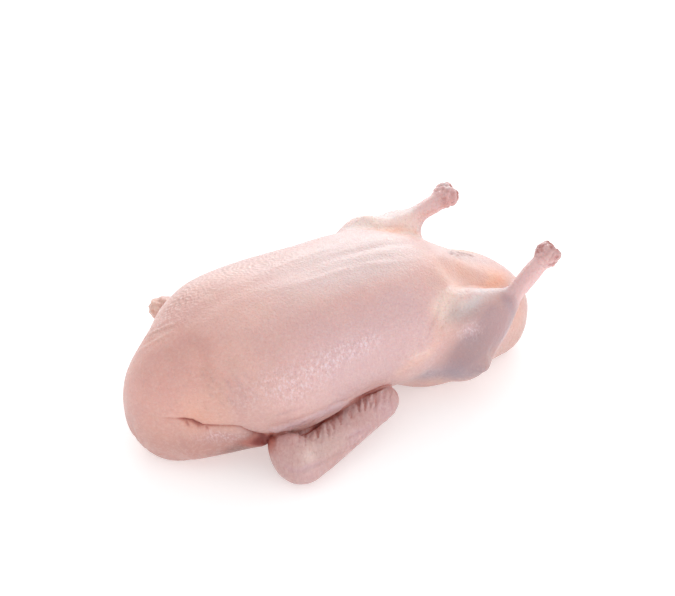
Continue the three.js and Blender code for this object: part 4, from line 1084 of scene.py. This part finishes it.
# Cooler tone with painted sheen.
colour = k.mix(k.math("MULTIPLY", k.weight("cool_and_sheen"), 0.80), colour, COOL_AND_SHEEN)
colour = k.mix(k.math("MULTIPLY", fine, 0.20), colour, srgb(230, 194, 186))
# Pinker skin and painted shade on the roll.
colour = k.mix(k.math("MULTIPLY", k.weight("pinker_and_shade"), 0.60), colour, PINK_AND_SHADE)
colour = k.mix(k.math("MULTIPLY", k.weight("wing"), 0.70), colour, WING)
colour = k.mix(k.math("MULTIPLY", k.weight("shank"), 0.60), colour, SHANK)
# Paler skin with painted top light.
colour = k.mix(k.math("MULTIPLY", k.weight("pale_and_top_light"), 0.85), colour, PALE_AND_TOP_LIGHT)
# Mauve skin and painted shade on the leg.
colour = k.mix(k.math("MULTIPLY", k.weight("lilac_and_shade"), 0.75), colour, LILAC_AND_SHADE)
# Painted blue-grey shade.
colour = k.mix(k.math("MULTIPLY", k.weight("blue_shade"), 0.85), colour, BLUE_SHADE)
colour = k.mix(k.math("MULTIPLY", k.weight("web"), 0.60), colour, WEB)
# Cream skin and painted highlights.
colour = k.mix(k.math("MULTIPLY", k.weight("cream_and_highlight"), 0.75), colour, CREAM_AND_HIGHLIGHT)
colour = k.mix(k.math("MULTIPLY", k.weight("orange"), 0.80), colour, ORANGE)
colour = k.mix(k.math("MULTIPLY", k.weight("ridge"), 0.45), colour, RIDGE)
colour = k.mix(k.math("MULTIPLY", k.weight("slit"), 0.72), colour, srgb(184, 154, 152))
colour = k.mix(k.math("MULTIPLY", k.weight("gristle"), 0.70), colour, GRISTLE)
colour = k.mix(k.math("MULTIPLY", k.weight("raw"), 0.80), colour, RAW)
# Painted shade, darker towards the bottom and under the roll.
colour = k.mix(k.math("MULTIPLY", k.weight("low"), 0.28), colour, srgb(130, 118, 116), "MULTIPLY")
colour = k.mix(k.math("MULTIPLY", k.weight("warm"), 0.50), colour, srgb(252, 234, 228), "MULTIPLY")
# Painted shade on the thigh and breast side.
colour = k.mix(k.weight("side_shade"), colour, srgb(214, 222, 225), "MULTIPLY")
colour = k.mix(k.math("MULTIPLY", k.weight("shade"), 0.62), colour, srgb(140, 118, 116), "MULTIPLY")
# Painted shade in the wrinkles of the web and flank.
colour = k.mix(k.math("MULTIPLY", k.weight("wrinkle_shade"), 0.55), colour, srgb(184, 140, 144))
colour = k.mix(k.math("MULTIPLY", k.weight("amber"), 0.75), colour, srgb(236, 166, 140))
# Painted reddish shade at the wrist and the crease's hooks.
colour = k.mix(k.math("MULTIPLY", k.weight("red_shade"), 0.60), colour, srgb(188, 122, 112))
# Mauve on the wing, with painted shade along its folds.
colour = k.mix(k.math("MULTIPLY", k.weight("mauve_and_fold_shade"), 0.55), colour, srgb(198, 158, 168))

# Fine upright streaks in the wet skin of the breast's side and on the wings; on the breast's side they carry painted
# glints and sheen.
upright = k.place(turn=(0, 0, 31))
streak_v = k.place(stretch=(1.0, 0.45, 0.5), vector=k.place(turn=(0, 12, 0), vector=upright))
streaks = k.noise(1.5, 2.0, 0.6, streak_v, 0.1)
wing_v = k.place(stretch=(1.0, 0.4, 0.22), vector=upright)
wing_streaks = k.noise(1.8, 3.0, 0.62, wing_v, 0.8)
wing_w = k.weight("wing")
sheen_w = k.weight("sheen")
streaks_b = k.noise(1.2, 2.0, 0.6, k.place(stretch=(1.0, 0.6, 0.7), vector=k.place(turn=(0, -16, 0), vector=upright)), 0.3)
# Painted glints on the sheen band.
glint = k.math("MULTIPLY", k.math("MAXIMUM", k.spread(streaks, 0.53, 0.64), k.spread(streaks_b, 0.56, 0.68)), sheen_w)
specks = k.spread(k.noise(2.4, 3.0, 0.65), 0.42, 0.70)
colour = k.mix(k.math("MULTIPLY", sheen_w, 0.15), colour, srgb(214, 182, 192))
dots = k.spread(k.noise(1.8, 2.0, 0.6, k.place(turn=(20, 40, 10))), 0.48, 0.30)
colour = k.mix(k.math("MULTIPLY", glint, 0.46), colour, srgb(240, 220, 230))
colour = k.mix(k.math("MULTIPLY", k.math("SUBTRACT", specks, k.weight("lilac_and_shade"), clamp=True), 0.13), colour, srgb(246, 224, 216))
colour = k.mix(k.math("MULTIPLY", dots, 0.22), colour, srgb(196, 148, 142))
colour = k.mix(k.math("MULTIPLY", k.spread(streaks, 0.46, 0.34), k.math("MULTIPLY", sheen_w, 0.42)), colour, srgb(186, 142, 148))
colour = k.mix(k.math("MULTIPLY", k.spread(wing_streaks, 0.47, 0.30), k.math("MULTIPLY", wing_w, 0.34)), colour, srgb(178, 126, 122))
colour = k.mix(k.math("MULTIPLY", k.spread(wing_streaks, 0.55, 0.72), k.math("MULTIPLY", wing_w, 0.24)), colour, srgb(236, 206, 202))

# Goose-flesh: small round bumps with darker pores between them, in slanting
# rows on the far shoulder of the breast.
rows_w = k.weight("rows")
pebble_w = k.weight("pebble")
row_waves = k.math("MULTIPLY", k.wave((0.98, 0.2, 0.0), 3.7, 12.0, 12), k.wave((0.0, 0.82, -0.57), 7.5, 16.0, 14))
row_cells = k.math("ADD", k.math("MULTIPLY", row_waves, -0.32), k.math("MULTIPLY", k.noise(2.2, 2.0, 0.5), 0.70))
# near 0 on a bump, near 0.6 in a pit
pebbles = k.cells(2.9, None, 0.6)
tiny = k.cells(1.5, None, 0.5)
pore_dark = k.math("MULTIPLY", k.spread(pebbles, 0.24, 0.08), k.math("MULTIPLY", pebble_w, 0.28))
colour = k.mix(pore_dark, colour, srgb(182, 132, 124))
row_dark = k.math("MULTIPLY", k.spread(row_cells, 0.36, 0.58), k.math("MULTIPLY", rows_w, 0.50))
colour = k.mix(row_dark, colour, srgb(168, 132, 122))
row_light = k.math("MULTIPLY", k.spread(row_cells, 0.22, 0.02), k.math("MULTIPLY", rows_w, 0.60))
colour = k.mix(row_light, colour, srgb(246, 236, 232))

# Painted shade in the notches, the folds and the recess behind the wing.
notch_shade_w = k.math("MULTIPLY", k.weight("notch_shade"), k.spread(wing_streaks, 0.30, 0.55, 1.0, 0.72))
colour = k.mix(k.spread(notch_shade_w, 0.15, 0.70, 0.0, 0.80), colour, NOTCH_SHADE)
crease_shade_w = k.weight("crease_shade")
colour = k.mix(k.spread(crease_shade_w, 0.05, 0.60, 0.0, 0.80), colour, FOLD_SHADE)
colour = k.mix(k.spread(crease_shade_w, 0.50, 0.95, 0.0, 0.95), colour, DEEP_SHADE)

n1 = k.bump(k.math("MULTIPLY", row_cells, rows_w), 0.55, -0.6)
n2 = k.bump(k.math("MULTIPLY", pebbles, pebble_w), 0.55, 0.50, n1)
n3 = k.bump(tiny, 0.85, -0.34, n2)
n4 = k.bump(k.math("MULTIPLY", streaks, k.math("MAXIMUM", sheen_w, 0.25)), 0.50, 0.70, n3)
n5 = k.bump(k.math("MULTIPLY", wing_streaks, wing_w), 0.60, 0.80, n4)
n6 = k.bump(k.noise(11, 2.0, 0.5), 0.20, 0.9, n5)
n7 = k.bump(k.noise(1.0, 2.0, 0.6), 0.50, 0.24, n6)

rough = k.spread(k.noise(5, 3.0, 0.6), 0.3, 0.7, 0.40, 0.56)
rough = k.math("SUBTRACT", rough, k.math("MULTIPLY", glint, 0.15), clamp=True)

b = k.add("ShaderNodeBsdfPrincipled")
k.put(b.inputs["Base Color"], colour)
k.put(b.inputs["Roughness"], rough)
k.put(b.inputs["Normal"], n7)
k.put(b.inputs["Coat Normal"], n7)
b.inputs["Subsurface Weight"].default_value = 0.25
b.inputs["Subsurface Radius"].default_value = (1.0, 0.42, 0.28)
b.inputs["Subsurface Scale"].default_value = 0.0022
b.inputs["Specular IOR Level"].default_value = 0.5
b.inputs["Coat Weight"].default_value = 0.45
b.inputs["Coat Roughness"].default_value = 0.24
b.inputs["Coat IOR"].default_value = 1.38
out = k.add("ShaderNodeOutputMaterial")
k.tree.links.new(b.outputs[0], out.inputs["Surface"])
duck.data.materials.append(k.mat)

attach(duck, "root")
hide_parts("duck")

# ---------------------------------------------------------------------------
# Floor, light and camera.
# ---------------------------------------------------------------------------
me = bpy.data.meshes.new("floor")
S = 6.0
me.from_pydata([(-S, -S, 0), (S, -S, 0), (S, S, 0), (-S, S, 0)], [], [(0, 1, 2, 3)])
floor = bpy.data.objects.new("floor", me)
bpy.context.scene.collection.objects.link(floor)
floor.location.z = -0.0004
fm = bpy.data.materials.new("floor")
fm.use_nodes = True
fb = fm.node_tree.nodes["Principled BSDF"]
fb.inputs["Base Color"].default_value = (0.82, 0.82, 0.825, 1)
fb.inputs["Roughness"].default_value = 0.9
fb.inputs["Specular IOR Level"].default_value = 0.1
fb.inputs["Emission Color"].default_value = (1, 1, 1, 1)
fb.inputs["Emission Strength"].default_value = 0.37
me.materials.append(fm)

world = bpy.data.worlds.new("studio")
bpy.context.scene.world = world
world.use_nodes = True
bg = world.node_tree.nodes["Background"]
bg.inputs["Color"].default_value = (1.0, 1.0, 1.0, 1)
bg.inputs["Strength"].default_value = 0.88


def soft_light(name, at, to, size, power, colour=(1, 1, 1)):
    li = bpy.data.lights.new(name, "AREA")
    li.shape = "RECTANGLE"
    li.size, li.size_y = size
    li.energy = power
    li.color = colour
    ob = bpy.data.objects.new(name, li)
    bpy.context.scene.collection.objects.link(ob)
    ob.location = at
    ob.rotation_euler = (Vector(to) - Vector(at)).to_track_quat("-Z", "Y").to_euler()
    return ob


soft_light("back_panel", (0.82, 1.26, 0.65), (0, 0, 0.06), (2.0, 1.1), 12.8)
soft_light("low_strip", (0.5, -1.37, 0.37), (0, 0, 0.06), (1.6, 0.18), 3.2)

AZ, EL = math.radians(-31.0), math.radians(34.0)
DIST, F_PX, W_PX, H_PX = 1.302, 1790.0, 675, 596
AIM, AIM_PX = Vector((-0.00215, -0.01256, 0.0465)), (330.0, 336.0)
back = Vector((math.sin(AZ) * math.cos(EL), -math.cos(AZ) * math.cos(EL), math.sin(EL)))
right = Vector((math.cos(AZ), math.sin(AZ), 0.0))
up = back.cross(right)
cam = bpy.data.objects.new("camera", bpy.data.cameras.new("camera"))
bpy.context.scene.collection.objects.link(cam)
du = (AIM_PX[0] - W_PX / 2) / F_PX * DIST
dv = (H_PX / 2 - AIM_PX[1]) / F_PX * DIST
cam.location = AIM + back * DIST - right * du - up * dv
cam.rotation_euler = Matrix((right, up, back)).transposed().to_euler()
cam.data.sensor_fit = "HORIZONTAL"
cam.data.sensor_width = 36.0
cam.data.lens = F_PX / W_PX * 36.0
cam.data.clip_start = 0.05
bpy.context.scene.camera = cam
bpy.context.scene.view_settings.view_transform = "Standard"
